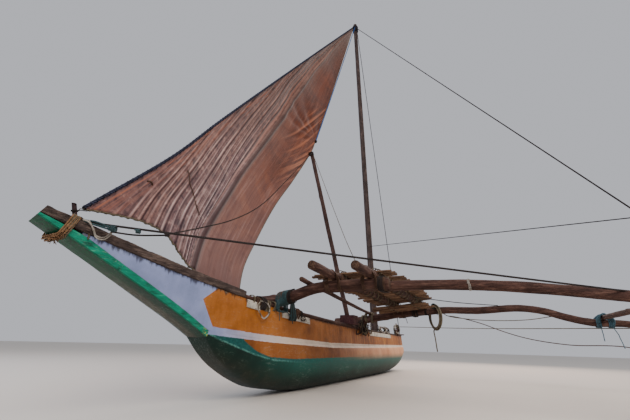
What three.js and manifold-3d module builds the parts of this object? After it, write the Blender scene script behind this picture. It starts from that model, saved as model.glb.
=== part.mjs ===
// Outrigger sailing canoe, standing on its keel and its float. Millimetres, +Z up.
// +X runs to the upswept prow, +Y to the outrigger, and z = 0 is the ground under keel and float.

import * as THREE from 'three';
import { mergeVertices } from 'three/addons/utils/BufferGeometryUtils.js';
import Module from 'manifold-3d';

const wasm = await Module();
wasm.setup();

// Driving dimensions
const GAP = 0.3;
const HULL_WALL = 45;
const PLANK_THICK = 25;
const STERN_X = -4250;
const STERN_BOARD_THICK = 28;
const LOG_BOW_X = 2765;
const PLANK_BOW_X = 3960;
const TIP_X = 4240;
const RAIL_STEP_X = 2365;
const RAIL_WIDTH = 50;
const RAIL_PROUD = 12;
const RAIL_TIP_INSET = 32;
const POLE_RAIL_AFT_X = -1200;
const CAP_HEIGHT = 30;
const CAP_WIDTH = 46;
const NEAR_BOOM_X = 1780;
const FAR_BOOM_X = -970;
const FLOAT_Y = 4780;
const FLOAT_RADIUS = 165;
const BRACE_Y = 3750;
const MAST_FOOT = [-2378, 45, 135];
const MAST_HEAD = [-1307, 150, 9040];
const SPAR_FOOT = [-405, 172, 985];
const SPAR_TIP = [840, 44.2, 3560];
const SAIL_TACK = [3970, 26, 1316];
const SAIL_PEAK = [-1300, 105, 8960];
const SAIL_CLEW = [2240, -20, 930];
const SAIL_THICK = 5;

// Lower hull, outer shape: the bottom is a flat keel with quarter-ellipse bilges, the top a rounded shoulder
const HULL_COLUMNS = ['x', 'keelZ', 'keelHalf', 'bulgeHalf', 'bulgeZ', 'topHalf', 'topZ'];
const HULL = [
  [-4250, 290, 45, 198, 450, 182, 532],
  [-3950, 165, 60, 226, 405, 199, 531],
  [-3500, 80, 70, 252, 368, 213, 530],
  [-2800, 22, 78, 278, 335, 228, 528],
  [-1800, 0, 80, 296, 312, 238, 524],
  [-650, 0, 80, 304, 302, 241, 521],
  [400, 0, 80, 304, 302, 242, 524],
  [900, 0, 80, 300, 306, 238, 529],
  [1400, 24, 78, 290, 325, 233, 536],
  [1900, 86, 68, 264, 354, 222, 549],
  [2200, 180, 60, 234, 411, 206, 563],
  [2450, 300, 80, 205, 477, 184, 580],
  [2620, 410, 95, 155, 532, 162, 594],
  [2765, 548, 105, 131, 580, 136, 607],
];

// Prow beam, a squared timber
const BEAM_COLUMNS = ['x', 'bottomZ', 'topZ', 'bottomHalf', 'topHalf'];
const BEAM = [
  [2765, 551, 607, 126, 136],
  [3000, 664, 723, 123, 132],
  [3300, 794, 854, 118, 127],
  [3730, 976, 1035, 103, 111],
  [3960, 1070, 1131, 93, 99],
  [4240, 1185, 1203, 82, 84],
];

// Top edge of the washstrake planks
const SHEER_COLUMNS = ['x', 'half', 'z'];
const SHEER = [
  [-4220, 160, 795],
  [-3500, 186, 793],
  [-2800, 205, 792],
  [-1800, 213, 793],
  [-650, 217, 797],
  [400, 211, 822],
  [1400, 201, 862],
  [1900, 192, 897],
  [2400, 178, 938],
  [2860, 164, 986],
  [3150, 150, 1020],
  [3500, 130, 1072],
  [3960, 100, 1146],
];

// Linear reading of one column of a table at x
function read(table, columns, name, x) {
  const rows = [...table].sort((a, b) => a[0] - b[0]);
  const column = columns.indexOf(name);
  if (x <= rows[0][0]) return rows[0][column];
  for (let i = 1; i < rows.length; i++) {
    if (x <= rows[i][0]) {
      const t = (x - rows[i - 1][0]) / (rows[i][0] - rows[i - 1][0]);
      return rows[i - 1][column] * (1 - t) + rows[i][column] * t;
    }
  }
  return rows[rows.length - 1][column];
}
const hullAt = (name, x) => read(HULL, HULL_COLUMNS, name, x);
const beamAt = (name, x) => read(BEAM, BEAM_COLUMNS, name, x);
const sheerAt = (name, x) => read(SHEER, SHEER_COLUMNS, name, x);

// Materials: name to colour, roughness
const PAINTS = {
  green: [0x0d6b4a, 0.45],
  ochre: [0xb06c28, 0.55],
  white: [0xc9c9d2, 0.6],
  rawWood: [0x5b4640, 0.85],
  pole: [0x4c3d3c, 0.85],
  rope: [0x8a7a60, 0.95],
  tealRope: [0x2c5f66, 0.95],
  sail: [0x7a5045, 0.95],
  line: [0x2a2624, 0.9],
};

const canoe = new THREE.Group();

// Closed solids: three.js geometry to manifold and back. The seam is merged before the piece is placed.
function solid(geometry, matrix = new THREE.Matrix4()) {
  const plain = geometry.clone();
  for (const name of Object.keys(plain.attributes)) {
    if (name !== 'position') plain.deleteAttribute(name);
  }
  const merged = mergeVertices(plain, 0.001);
  const made = new wasm.Manifold(new wasm.Mesh({
    numProp: 3,
    vertProperties: new Float32Array(merged.attributes.position.array),
    triVerts: new Uint32Array(merged.index.array),
  }));
  return made.transform(matrix.elements);
}

function geometryOf(body) {
  const mesh = body.getMesh();
  const geometry = new THREE.BufferGeometry();
  geometry.setAttribute('position', new THREE.BufferAttribute(mesh.vertProperties, 3));
  geometry.setIndex(new THREE.BufferAttribute(mesh.triVerts, 1));
  geometry.computeVertexNormals();
  return geometry;
}

function cut(body, ...cutters) {
  return cutters.reduce((rest, cutter) => rest.subtract(cutter), body);
}

// Slivers that a cut leaves beside the main body are dropped
function mainBody(body) {
  return body.decompose().sort((a, b) => b.volume() - a.volume())[0];
}

function add(name, paint, body) {
  const [color, roughness] = PAINTS[paint];
  const geometry = body.isBufferGeometry ? body : geometryOf(body);
  const material = new THREE.MeshStandardMaterial({ color, roughness, metalness: 0 });
  const mesh = new THREE.Mesh(geometry, material);
  mesh.name = name;
  canoe.add(mesh);
  return body;
}

// Skin over rings of equal point count, closed by a fan at each end
function loft(rings) {
  const count = rings[0].length;
  const points = rings.flat();
  const centre = (ring) => [0, 1, 2].map((k) => ring.reduce((sum, p) => sum + p[k], 0) / count);
  const first = points.push(centre(rings[0])) - 1;
  const last = points.push(centre(rings[rings.length - 1])) - 1;
  const index = [];
  for (let i = 0; i < rings.length - 1; i++) {
    for (let j = 0; j < count; j++) {
      const a = i * count + j;
      const b = i * count + (j + 1) % count;
      index.push(a, b, b + count, a, b + count, a + count);
    }
  }
  const tail = (rings.length - 1) * count;
  for (let j = 0; j < count; j++) {
    const next = (j + 1) % count;
    index.push(first, next, j, last, tail + j, tail + next);
  }
  const geometry = new THREE.BufferGeometry();
  geometry.setAttribute('position', new THREE.Float32BufferAttribute(points.flat(), 3));
  geometry.setIndex(index);
  const made = solid(geometry);
  if (made.volume() > 0) return made;
  geometry.setIndex(index.map((_, i) => index[i - (i % 3) + (2 - (i % 3))]));
  return solid(geometry);
}

// Box whose long side follows stations along x: place(x, v, w) with v up and w across, both 0 to 1
function plank(stations, place) {
  const corners = [[0, 0], [1, 0], [1, 1], [0, 1]];
  return loft(stations.map((x) => corners.map(([v, w]) => place(x, v, w))));
}

const stationsBetween = (table, from, to) => {
  const inner = table.map((row) => row[0]).filter((x) => x > from + 1 && x < to - 1);
  return [from, ...inner, to].sort((a, b) => a - b);
};

// Round pole along points with a radius at each point; its rings share one upright reference
function pole(points, radii, sides = 12, grow = 0) {
  const at = points.map((p) => new THREE.Vector3(...p));
  const rings = at.map((p, i) => {
    const before = at[Math.max(i - 1, 0)];
    const after = at[Math.min(i + 1, at.length - 1)];
    const along = after.clone().sub(before).normalize();
    const reference = Math.abs(along.z) > 0.9 ? new THREE.Vector3(1, 0, 0) : new THREE.Vector3(0, 0, 1);
    const side = new THREE.Vector3().crossVectors(along, reference).normalize();
    const up = new THREE.Vector3().crossVectors(side, along);
    const centre = p.clone();
    if (grow > 0 && i === 0) centre.addScaledVector(along, -grow);
    if (grow > 0 && i === at.length - 1) centre.addScaledVector(along, grow);
    const radius = radii[i] + grow;
    return Array.from({ length: sides }, (_, k) => {
      const angle = (k / sides) * 2 * Math.PI;
      return centre.clone().addScaledVector(side, radius * Math.cos(angle))
        .addScaledVector(up, radius * Math.sin(angle)).toArray();
    });
  });
  return loft(rings);
}

// Smooth curve through places
const curveOf = (places) => {
  const points = places.map((p) => new THREE.Vector3(...p));
  return new THREE.CatmullRomCurve3(points, false, 'centripetal');
};

// Smooth centre line through control points, with radii spread evenly from start to end
function spread(control, steps, startRadius, endRadius) {
  const curve = curveOf(control);
  const points = curve.getSpacedPoints(steps).map((p) => p.toArray());
  const radii = points.map((_, i) => startRadius + ((endRadius - startRadius) * i) / steps);
  return { points, radii };
}

// Rope of constant section along points
function rope(control, radius, steps, sides = 8) {
  const curve = curveOf(control);
  const outline = new THREE.Shape();
  for (let k = 0; k < sides; k++) {
    const angle = (k / sides) * 2 * Math.PI;
    const x = radius * Math.cos(angle);
    const y = radius * Math.sin(angle);
    if (k === 0) outline.moveTo(x, y);
    else outline.lineTo(x, y);
  }
  outline.closePath();
  return solid(new THREE.ExtrudeGeometry(outline, { steps, extrudePath: curve, bevelEnabled: false }));
}

function box(centre, size) {
  const geometry = new THREE.BoxGeometry(...size);
  geometry.translate(...centre);
  return solid(geometry);
}

// Fat band of rope: an elliptic drum, its axis along 'x', 'y' or 'z', from which what it ties is cut away
function band(centre, axis, halfAcross, halfUp, length, tied) {
  const geometry = new THREE.CylinderGeometry(1, 1, length, 14, 1);
  geometry.scale(halfAcross, 1, halfUp);
  if (axis === 'x') geometry.rotateZ(Math.PI / 2).rotateX(Math.PI / 2);
  if (axis === 'z') geometry.rotateX(Math.PI / 2);
  geometry.translate(...centre);
  return mainBody(cut(solid(geometry), ...tied));
}

// Lower hull: one section is a closed outline from the keel round the bilge and the shoulder to the top
const BILGE_STEPS = 5;
const SHOULDER_STEPS = 3;
function hullRing(x, inset) {
  const keelZ = hullAt('keelZ', x) + inset;
  const keelHalf = Math.max(hullAt('keelHalf', x) - inset * 0.4, 12);
  const bulgeHalf = hullAt('bulgeHalf', x) - inset;
  const bulgeZ = Math.max(hullAt('bulgeZ', x), keelZ + 20);
  const topHalf = hullAt('topHalf', x) - inset;
  const topZ = hullAt('topZ', x) + (inset > 0 ? 60 : 0);
  const side = [];
  for (let i = 0; i <= BILGE_STEPS; i++) {
    const angle = (i / BILGE_STEPS) * (Math.PI / 2);
    const y = keelHalf + (bulgeHalf - keelHalf) * Math.sin(angle);
    side.push([x, y, bulgeZ - (bulgeZ - keelZ) * Math.cos(angle)]);
  }
  for (let i = 1; i <= SHOULDER_STEPS; i++) {
    const angle = (i / SHOULDER_STEPS) * (Math.PI / 2);
    const y = topHalf + (bulgeHalf - topHalf) * Math.cos(angle);
    side.push([x, y, bulgeZ + (topZ - bulgeZ) * Math.sin(angle)]);
  }
  const far = side.map(([px, py, pz]) => [px, -py, pz]).reverse();
  return [...side, ...far];
}
const CAVITY_FROM_X = STERN_X + HULL_WALL + 25;
const CAVITY_TO_X = 2600;
const hullOuter = loft(HULL.map((row) => hullRing(row[0], 0)));
const cavity = (grow) => loft(stationsBetween(HULL, CAVITY_FROM_X + grow, CAVITY_TO_X - grow)
  .map((x) => hullRing(x, HULL_WALL + grow)));
add('hull_log', 'green', cut(hullOuter, cavity(0)));

// Prow beam, in front of the lower hull
const beam = loft(BEAM.map(([x, bottomZ, topZ, bottomHalf, topHalf], i) => {
  const at = i === 0 ? x + GAP : x;
  return [
    [at, -bottomHalf, bottomZ], [at, bottomHalf, bottomZ],
    [at, topHalf, topZ], [at, -topHalf, topZ],
  ];
}));

// The tip of the prow is cut off aslant: what lies past this plane goes
const PROW_RAKE = { inward: [-0.879, 0.1965, -0.4345], offset: -4209 };
const raked = (body) => body.trimByPlane(PROW_RAKE.inward, PROW_RAKE.offset);
add('prow_beam', 'green', raked(beam));

// Washstrake planks: low edge on the lower hull and on the prow beam, top edge on the sheer line
const PLANK_INSET = 4;
const lowHalf = (x) => (x <= LOG_BOW_X ? hullAt('topHalf', x) : beamAt('topHalf', x)) - PLANK_INSET;
const lowZ = (x) => (x <= LOG_BOW_X ? hullAt('topZ', x) : beamAt('topZ', x)) + GAP;
const PLANK_STATIONS = [...new Set([
  STERN_X + STERN_BOARD_THICK + 2,
  ...[...HULL, ...BEAM, ...SHEER].map((row) => row[0]).filter((x) => x > -4200 && x < PLANK_BOW_X),
  PLANK_BOW_X,
])].sort((a, b) => a - b);
function washstrake(side, grow = 0) {
  return plank(PLANK_STATIONS, (x, v, w) => {
    const outer = lowHalf(x) * (1 - v) + sheerAt('half', x) * v;
    const y = outer + grow - w * (PLANK_THICK + 2 * grow);
    return [x, side * y, lowZ(x) * (1 - v) + sheerAt('z', x) * v + (v * 2 - 1) * grow];
  });
}

// Squared bow rails, from the step near the near boom to the tip of the prow
const RAIL_COLUMNS = ['x', 'height'];
const RAIL_HEIGHTS = [[2400, 72], [3500, 68], [4240, 58]];
const railBottom = (x) => {
  const onPlank = sheerAt('z', Math.min(x, PLANK_BOW_X)) + GAP;
  const t = THREE.MathUtils.clamp((x - PLANK_BOW_X) / (TIP_X - PLANK_BOW_X), 0, 1);
  return onPlank * (1 - t) + (BEAM[BEAM.length - 1][2] + GAP) * t;
};
const railOuter = (x) => {
  const t = THREE.MathUtils.clamp((x - PLANK_BOW_X) / (TIP_X - PLANK_BOW_X), 0, 1);
  return sheerAt('half', Math.min(x, PLANK_BOW_X)) + RAIL_PROUD - t * RAIL_TIP_INSET;
};
const RAIL_STATIONS = [RAIL_STEP_X, 2860, 3150, 3500, PLANK_BOW_X, TIP_X];
const railHeight = (x) => read(RAIL_HEIGHTS, RAIL_COLUMNS, 'height', x);
function bowRail(side, grow = 0) {
  return plank(RAIL_STATIONS, (x, v, w) => {
    const y = railOuter(x) + grow - w * (RAIL_WIDTH + 2 * grow);
    return [x, side * y, railBottom(x) + v * railHeight(x) + (v * 2 - 1) * grow];
  });
}

// Round pole rails amidships and flat caps aft, both on the planks' top edge
const POLE_RAIL_COLUMNS = ['x', 'radius'];
const POLE_RAIL_RADII = [[-1200, 30], [900, 30], [1780, 24], [2365, 20]];
const POLE_RAIL_STATIONS = [POLE_RAIL_AFT_X, -650, 400, 900, 1400, 1900, RAIL_STEP_X - 6];
const POLE_RAIL_INSET = 12;
const poleRailRadius = (x) => read(POLE_RAIL_RADII, POLE_RAIL_COLUMNS, 'radius', x);
function poleRail(side, grow = 0) {
  const sides = 8;
  return loft(POLE_RAIL_STATIONS.map((x) => Array.from({ length: sides }, (_, k) => {
    const angle = ((k + 0.5) / sides) * 2 * Math.PI;
    const radius = poleRailRadius(x);
    const apothem = radius * Math.cos(Math.PI / sides);
    const y = sheerAt('half', x) - POLE_RAIL_INSET + (radius + grow) * Math.sin(angle);
    return [x, side * y, sheerAt('z', x) + GAP + apothem + (radius + grow) * Math.cos(angle)];
  })));
}
function aftCap(side, grow = 0) {
  const stations = stationsBetween(SHEER, STERN_X + 4, POLE_RAIL_AFT_X - 6);
  return plank(stations, (x, v, w) => {
    const y = sheerAt('half', x) + 10 + grow - w * (CAP_WIDTH + 2 * grow);
    return [x, side * y, sheerAt('z', x) + GAP + v * CAP_HEIGHT + (v * 2 - 1) * grow];
  });
}

// White boards outside the washstrakes, to which the ties are made. Side 1 is the outrigger side.
const CLEAT_BOARDS = [
  { name: 'cleat_board_1', side: 1, fromX: 2130, toX: 2340 },
  { name: 'cleat_board_2', side: 1, fromX: 1040, toX: 1700 },
  { name: 'cleat_board_3', side: 1, fromX: -2950, toX: -1420 },
  { name: 'cleat_board_4', side: -1, fromX: 1040, toX: 1700 },
];
const CLEAT_THICK = 18;
const CLEAT_DROP = 78;
const CLEAT_BITE = 3;
function plankOuterAt(x, z) {
  const v = (z - lowZ(x)) / (sheerAt('z', x) - lowZ(x));
  return lowHalf(x) * (1 - v) + sheerAt('half', x) * v;
}
function cleatBoard(side, fromX, toX, grow = 0) {
  return plank(stationsBetween(SHEER, fromX, toX), (x, v, w) => {
    const z = sheerAt('z', x) - 6 - (1 - v) * CLEAT_DROP;
    const y = plankOuterAt(x, z) - CLEAT_BITE - grow + w * (CLEAT_THICK + 2 * grow);
    return [x, side * y, z + (v * 2 - 1) * grow];
  });
}

const SIDES = [{ name: 'outrigger_side', side: 1 }, { name: 'lee_side', side: -1 }];
for (const { name, side } of SIDES) {
  add(`washstrake_${name}`, 'ochre', washstrake(side));
  add(`bow_rail_${name}`, 'rawWood', raked(bowRail(side)));
  add(`pole_rail_${name}`, 'pole', poleRail(side));
  add(`aft_cap_${name}`, 'rawWood', aftCap(side));
}
for (const { name, side, fromX, toX } of CLEAT_BOARDS) {
  add(name, 'white', mainBody(cut(cleatBoard(side, fromX, toX), washstrake(side, GAP))));
}

// Prow deck between the bow rails, and the stern board
const DECK_THICK = 32;
const deckTop = (x) => railBottom(x) + DECK_THICK;
const prowDeck = plank([3420, 3500, PLANK_BOW_X, TIP_X - 4], (x, v, w) => {
  const half = railOuter(x) - RAIL_WIDTH - GAP;
  return [x, half - w * 2 * half, railBottom(x) + v * DECK_THICK];
});
add('prow_deck', 'rawWood', raked(prowDeck));
const sternX = STERN_X + STERN_BOARD_THICK;
const sternRing = (x) => [
  [x, -lowHalf(sternX), lowZ(sternX)], [x, lowHalf(sternX), lowZ(sternX)],
  [x, sheerAt('half', sternX), sheerAt('z', sternX)],
  [x, -sheerAt('half', sternX), sheerAt('z', sternX)],
];
add('stern_board', 'ochre', loft([sternRing(STERN_X + 2), sternRing(sternX)]));

// Thwarts across the planks, let in under the rails: notched by planks, rails and caps
const THWARTS = [
  { name: 'thwart_1', x: 3020 },
  { name: 'thwart_2', x: 620 },
  { name: 'thwart_3', x: -2720 },
  { name: 'thwart_4', x: -3620 },
];
const THWART_WIDE = 130;
const THWART_THICK = 34;
for (const { name, x } of THWARTS) {
  const z = sheerAt('z', x) - 70;
  const half = plankOuterAt(x, z) - PLANK_THICK + 14;
  const board = box([x, 0, z], [THWART_WIDE, 2 * half, THWART_THICK]);
  add(name, 'rawWood', cut(board, washstrake(1, GAP), washstrake(-1, GAP)));
}

// Mast step on the hull floor, with a round socket for the ball foot
const STEP_TOP = MAST_FOOT[2] - 20;
const SOCKET_FLOOR = MAST_FOOT[2] - 40 - GAP;
const socket = new THREE.CylinderGeometry(64, 64, 80, 20);
socket.rotateX(Math.PI / 2);
socket.translate(MAST_FOOT[0], MAST_FOOT[1], SOCKET_FLOOR + 40);
const stepBlock = box([MAST_FOOT[0], 0, STEP_TOP / 2], [300, 420, STEP_TOP]).intersect(cavity(GAP));
add('mast_step', 'rawWood', cut(stepBlock, solid(socket)));

// Booms: an inner and an outer pole each, side by side where they overlap.
// A centre line is a row of places across the boat, y and z, at one x.
const boomLine = (x, places, steps, startRadius, endRadius) => spread(
  places.map(([y, z]) => [x, y, z]), steps, startRadius, endRadius);
const NEAR_INNER = boomLine(NEAR_BOOM_X, [
  [-300, 984], [0, 982], [230, 994], [420, 1032], [640, 1092], [820, 1112], [1120, 1110], [1500, 1102],
], 13, 60, 58);
const NEAR_OUTER_X = NEAR_BOOM_X - 114.5;
const NEAR_OUTER = boomLine(NEAR_OUTER_X, [
  [800, 1112], [1430, 1102], [1900, 1090], [2300, 1064], [2750, 1015], [3320, 922],
  [3750, 840], [4200, 705], [4500, 540], [4680, 420], [4820, 374], [5010, 378],
], 24, 54, 40);
const FAR_INNER = boomLine(FAR_BOOM_X, [
  [-290, 945], [0, 948], [240, 962], [540, 1004], [900, 1058], [1300, 1100], [1420, 1110],
], 12, 64, 60);
const FAR_OUTER_X = FAR_BOOM_X - 122.5;
const FAR_OUTER = boomLine(FAR_OUTER_X, [
  [880, 1054], [1300, 1100], [1700, 1120], [2200, 1108], [2760, 1130], [3080, 1076], [3310, 994],
  [3650, 905], [4010, 885], [4340, 790], [4580, 590], [4720, 430], [4840, 376], [5020, 380],
], 26, 60, 41);
const grown = ({ points, radii }, sides = 12) => pole(points, radii, sides, GAP);

// Float: a log with a flat underside, both ends tapered and turned up.
// columns: x, radius, lift of the underside
const FLOAT = [
  [-2330, 42, 175], [-2150, 92, 95], [-1800, 135, 34], [-1250, FLOAT_RADIUS, 0],
  [1900, FLOAT_RADIUS, 0], [2450, 135, 34], [2800, 92, 95], [2980, 42, 175],
];
const FLOAT_SIDES = 16;
const floatLog = (grow) => loft(FLOAT.map(([x, radius, lift], i) => {
  const end = (i === 0 ? -1 : i === FLOAT.length - 1 ? 1 : 0) * grow;
  const apothem = radius * Math.cos(Math.PI / FLOAT_SIDES);
  return Array.from({ length: FLOAT_SIDES }, (_, k) => {
    const angle = ((k + 0.5) / FLOAT_SIDES) * 2 * Math.PI;
    const y = FLOAT_Y + (radius + grow) * Math.sin(angle);
    return [x + end, y, lift + apothem + (radius + grow) * Math.cos(angle)];
  });
}));
add('float', 'rawWood', floatLog(0));

// Boom bearer under the far boom, across both pole rails
const BEARER_CENTRE = [FAR_BOOM_X, 0, 876];
const BEARER_SIZE = [150, 520, 44];
const bearer = box(BEARER_CENTRE, BEARER_SIZE);
const bearerCut = [poleRail(1, GAP), poleRail(-1, GAP), aftCap(1, GAP), aftCap(-1, GAP)];
add('boom_bearer', 'rawWood', cut(bearer, ...bearerCut, grown(FAR_INNER)));

const boomPole = ({ points, radii }) => pole(points, radii);
add('near_boom_inner', 'pole', cut(boomPole(NEAR_INNER), poleRail(1, GAP), poleRail(-1, GAP)));
add('near_boom_outer', 'pole', cut(boomPole(NEAR_OUTER), floatLog(GAP)));
add('far_boom_inner', 'pole', boomPole(FAR_INNER));
add('far_boom_outer', 'pole', cut(boomPole(FAR_OUTER), floatLog(GAP)));

// Height of a boom's centre line and its radius at y
function boomAt(boom, y) {
  for (let i = 1; i < boom.points.length; i++) {
    const [, y0, z0] = boom.points[i - 1];
    const [, y1, z1] = boom.points[i];
    if (y <= y1) {
      const t = (y - y0) / (y1 - y0);
      return { z: z0 + (z1 - z0) * t, radius: boom.radii[i - 1] * (1 - t) + boom.radii[i] * t };
    }
  }
  return null;
}
const topOf = (boom, y) => {
  const { z, radius } = boomAt(boom, y);
  return z + radius;
};

// Long poles over both booms: where each crosses them, where it ends and how thick it is
const OUTER = { nearBoom: NEAR_OUTER, farBoom: FAR_OUTER };
const INNER = { nearBoom: NEAR_INNER, farBoom: FAR_INNER };
const LONG_POLES = [
  { name: 'brace_pole', nearY: BRACE_Y, farY: BRACE_Y, frontX: 2080, aftX: -1420, radius: 34, ...OUTER },
  { name: 'platform_log_1', nearY: 905, farY: 925, frontX: 2330, aftX: -1330, radius: 46, ...INNER },
  { name: 'platform_log_2', nearY: 1310, farY: 1310, frontX: 2240, aftX: -1330, radius: 46, ...INNER },
  { name: 'platform_pole', nearY: 588, farY: 392, frontX: 1990, aftX: -1230, radius: 26, ...INNER },
];
const SEAT_BITE = 3;
const longPole = {};
for (const { name, nearY, farY, frontX, aftX, radius, nearBoom, farBoom } of LONG_POLES) {
  const nearX = nearBoom.points[0][0];
  const farX = farBoom.points[0][0];
  const nearZ = topOf(nearBoom, nearY) + radius - SEAT_BITE;
  const farZ = topOf(farBoom, farY) + radius - SEAT_BITE;
  const at = (x) => {
    const t = (x - nearX) / (farX - nearX);
    return [x, nearY + (farY - nearY) * t, nearZ + (farZ - nearZ) * t];
  };
  const line = [frontX, (frontX + aftX) / 2, aftX].map(at);
  const radii = [radius, radius * 0.96, radius * 0.92];
  longPole[name] = { at, line, radii, radius };
  const cutters = [NEAR_INNER, NEAR_OUTER, FAR_INNER, FAR_OUTER].map((boom) => grown(boom));
  add(name, 'pole', cut(pole(line, radii, 10), ...cutters));
}
const grownLong = (name) => pole(longPole[name].line, longPole[name].radii, 10, GAP);

// Platform slats across the two logs
const SLAT_COUNT = 7;
const SLAT_FIRST_X = 1500;
const SLAT_PITCH = -370;
const SLAT_FROM_Y = 520;
const SLAT_TO_Y = 1530;
const SLAT_THICK = 28;
const SLAT_WIDE = 340;
for (let i = 0; i < SLAT_COUNT; i++) {
  const x = SLAT_FIRST_X + i * SLAT_PITCH;
  const [, y1, z1] = longPole.platform_log_1.at(x);
  const [, y2, z2] = longPole.platform_log_2.at(x);
  const lift = longPole.platform_log_1.radius - SEAT_BITE + SLAT_THICK / 2;
  const at = (y) => z1 + ((z2 - z1) * (y - y1)) / (y2 - y1) + lift;
  const board = loft([SLAT_FROM_Y, SLAT_TO_Y].map((y) => [
    [x - SLAT_WIDE / 2, y, at(y) - SLAT_THICK / 2], [x + SLAT_WIDE / 2, y, at(y) - SLAT_THICK / 2],
    [x + SLAT_WIDE / 2, y, at(y) + SLAT_THICK / 2], [x - SLAT_WIDE / 2, y, at(y) + SLAT_THICK / 2],
  ]));
  const logs = [grownLong('platform_log_1'), grownLong('platform_log_2')];
  add(`platform_slat_${i + 1}`, 'rawWood', cut(board, ...logs));
}

// Lashings: at the hull, at the scarfs, at the brace and at the float
const hullParts = [washstrake(1, GAP), washstrake(-1, GAP), poleRail(1, GAP), poleRail(-1, GAP),
  aftCap(1, GAP), aftCap(-1, GAP)];
const cleatParts = CLEAT_BOARDS.map(({ side, fromX, toX }) => cleatBoard(side, fromX, toX, GAP));
const nearParts = [grown(NEAR_INNER), grown(NEAR_OUTER)];
const farParts = [grown(FAR_INNER), grown(FAR_OUTER)];
const tieParts = [...hullParts, ...cleatParts];
const nearTied = [...tieParts, ...nearParts];
add('near_hull_lashing', 'tealRope', band([NEAR_BOOM_X, 215, 948], 'y', 104, 128, 90, nearTied));
const bearerCutter = box(BEARER_CENTRE, BEARER_SIZE.map((size) => size + 2 * GAP));
const farTied = [...tieParts, ...farParts, bearerCutter];
add('far_hull_lashing', 'rope', band([FAR_BOOM_X, 225, 905], 'y', 108, 142, 84, farTied));

const SCARF_LASHINGS = [
  { name: 'near_scarf_lashing', inner: NEAR_INNER, outer: NEAR_OUTER, y: 1430 },
  { name: 'far_scarf_lashing', inner: FAR_INNER, outer: FAR_OUTER, y: 1190 },
];
for (const { name, inner, outer, y } of SCARF_LASHINGS) {
  const middleX = (inner.points[0][0] + outer.points[0][0]) / 2;
  const { z, radius } = boomAt(inner, y);
  const tied = [grown(inner), grown(outer)];
  add(name, 'rope', band([middleX, y, z], 'y', 2 * radius + 26, radius + 24, 74, tied));
}

const OUTER_LASHINGS = [
  { brace: 'near_brace_lashing', float: 'near_float_lashing', boom: NEAR_OUTER },
  { brace: 'far_brace_lashing', float: 'far_float_lashing', boom: FAR_OUTER },
];
for (const { brace, float, boom } of OUTER_LASHINGS) {
  const x = boom.points[0][0];
  const { z, radius } = boomAt(boom, BRACE_Y);
  const braceTied = [grown(boom), grownLong('brace_pole')];
  add(brace, 'tealRope', band([x, BRACE_Y, z + 32], 'y', radius + 24, radius + 62, 96, braceTied));
  const floatTied = [grown(boom), floatLog(GAP)];
  add(float, 'rope', band([x, FLOAT_Y, 330], 'x', 200, 118, 150, floatTied));
}

// Prow peg and the coir lashing wound round the prow behind the tip
const PEG = { x: 3985, y: 26, radius: 17, top: 1330 };
const pegBase = deckTop(PEG.x) + GAP;
const peg = new THREE.CylinderGeometry(PEG.radius * 0.9, PEG.radius, PEG.top - pegBase, 12);
peg.rotateX(Math.PI / 2);
peg.translate(PEG.x, PEG.y, (PEG.top + pegBase) / 2 + 3);
const deckCutter = plank([3420, 3500, PLANK_BOW_X, TIP_X - 4], (x, v, w) => {
  const half = railOuter(x) - RAIL_WIDTH;
  return [x, half - w * 2 * half, railBottom(x) - GAP + v * (DECK_THICK + 2 * GAP)];
});
add('prow_peg', 'pole', cut(solid(peg), deckCutter));
const pegCutter = solid(new THREE.CylinderGeometry(PEG.radius + GAP, PEG.radius + GAP, 200, 12)
  .rotateX(Math.PI / 2).translate(PEG.x, PEG.y, PEG.top - 96));
const prowParts = [bowRail(1, GAP), bowRail(-1, GAP), washstrake(1, GAP), washstrake(-1, GAP), deckCutter];
const beamCutter = loft(BEAM.map(([x, bottomZ, topZ, bottomHalf, topHalf]) => [
  [x, -bottomHalf - GAP, bottomZ - GAP], [x, bottomHalf + GAP, bottomZ - GAP],
  [x, topHalf + GAP, topZ + GAP], [x, -topHalf - GAP, topZ + GAP],
]));
const PROW_LASHING = { x: 4010, z: 1170, halfAcross: 124, halfUp: 100, length: 78 };
add('prow_lashing', 'rope', band([PROW_LASHING.x, 0, PROW_LASHING.z], 'x', PROW_LASHING.halfAcross,
  PROW_LASHING.halfUp, PROW_LASHING.length, [...prowParts, beamCutter, pegCutter]));

// Second spar on its foot block, which lies on the outrigger-side pole rail
const BLOCK_CENTRE = [-410, 200, 925];
const BLOCK_SIZE = [220, 250, 150];
const block = box(BLOCK_CENTRE, BLOCK_SIZE);
add('spar_block', 'rawWood', cut(block, poleRail(1, GAP), washstrake(1, GAP)));
const sparPoints = [SPAR_FOOT, SPAR_TIP];
const blockCutter = box(BLOCK_CENTRE, BLOCK_SIZE.map((size) => size + 2 * GAP));
add('spar', 'pole', cut(pole(sparPoints, [40, 32], 10), blockCutter));

// Mast: tapered pole on a ball foot, turned about its own axis and then leaned
const foot = new THREE.Vector3(...MAST_FOOT);
const head = new THREE.Vector3(...MAST_HEAD);
const mastLength = head.distanceTo(foot);
const mastDirection = head.clone().sub(foot).normalize();
const lean = new THREE.Quaternion().setFromUnitVectors(new THREE.Vector3(0, 1, 0), mastDirection);
const mastPoint = (height) => foot.clone().addScaledVector(mastDirection, height);
const UNIT = new THREE.Vector3(1, 1, 1);
const MAST_SIDES = 14;
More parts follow.
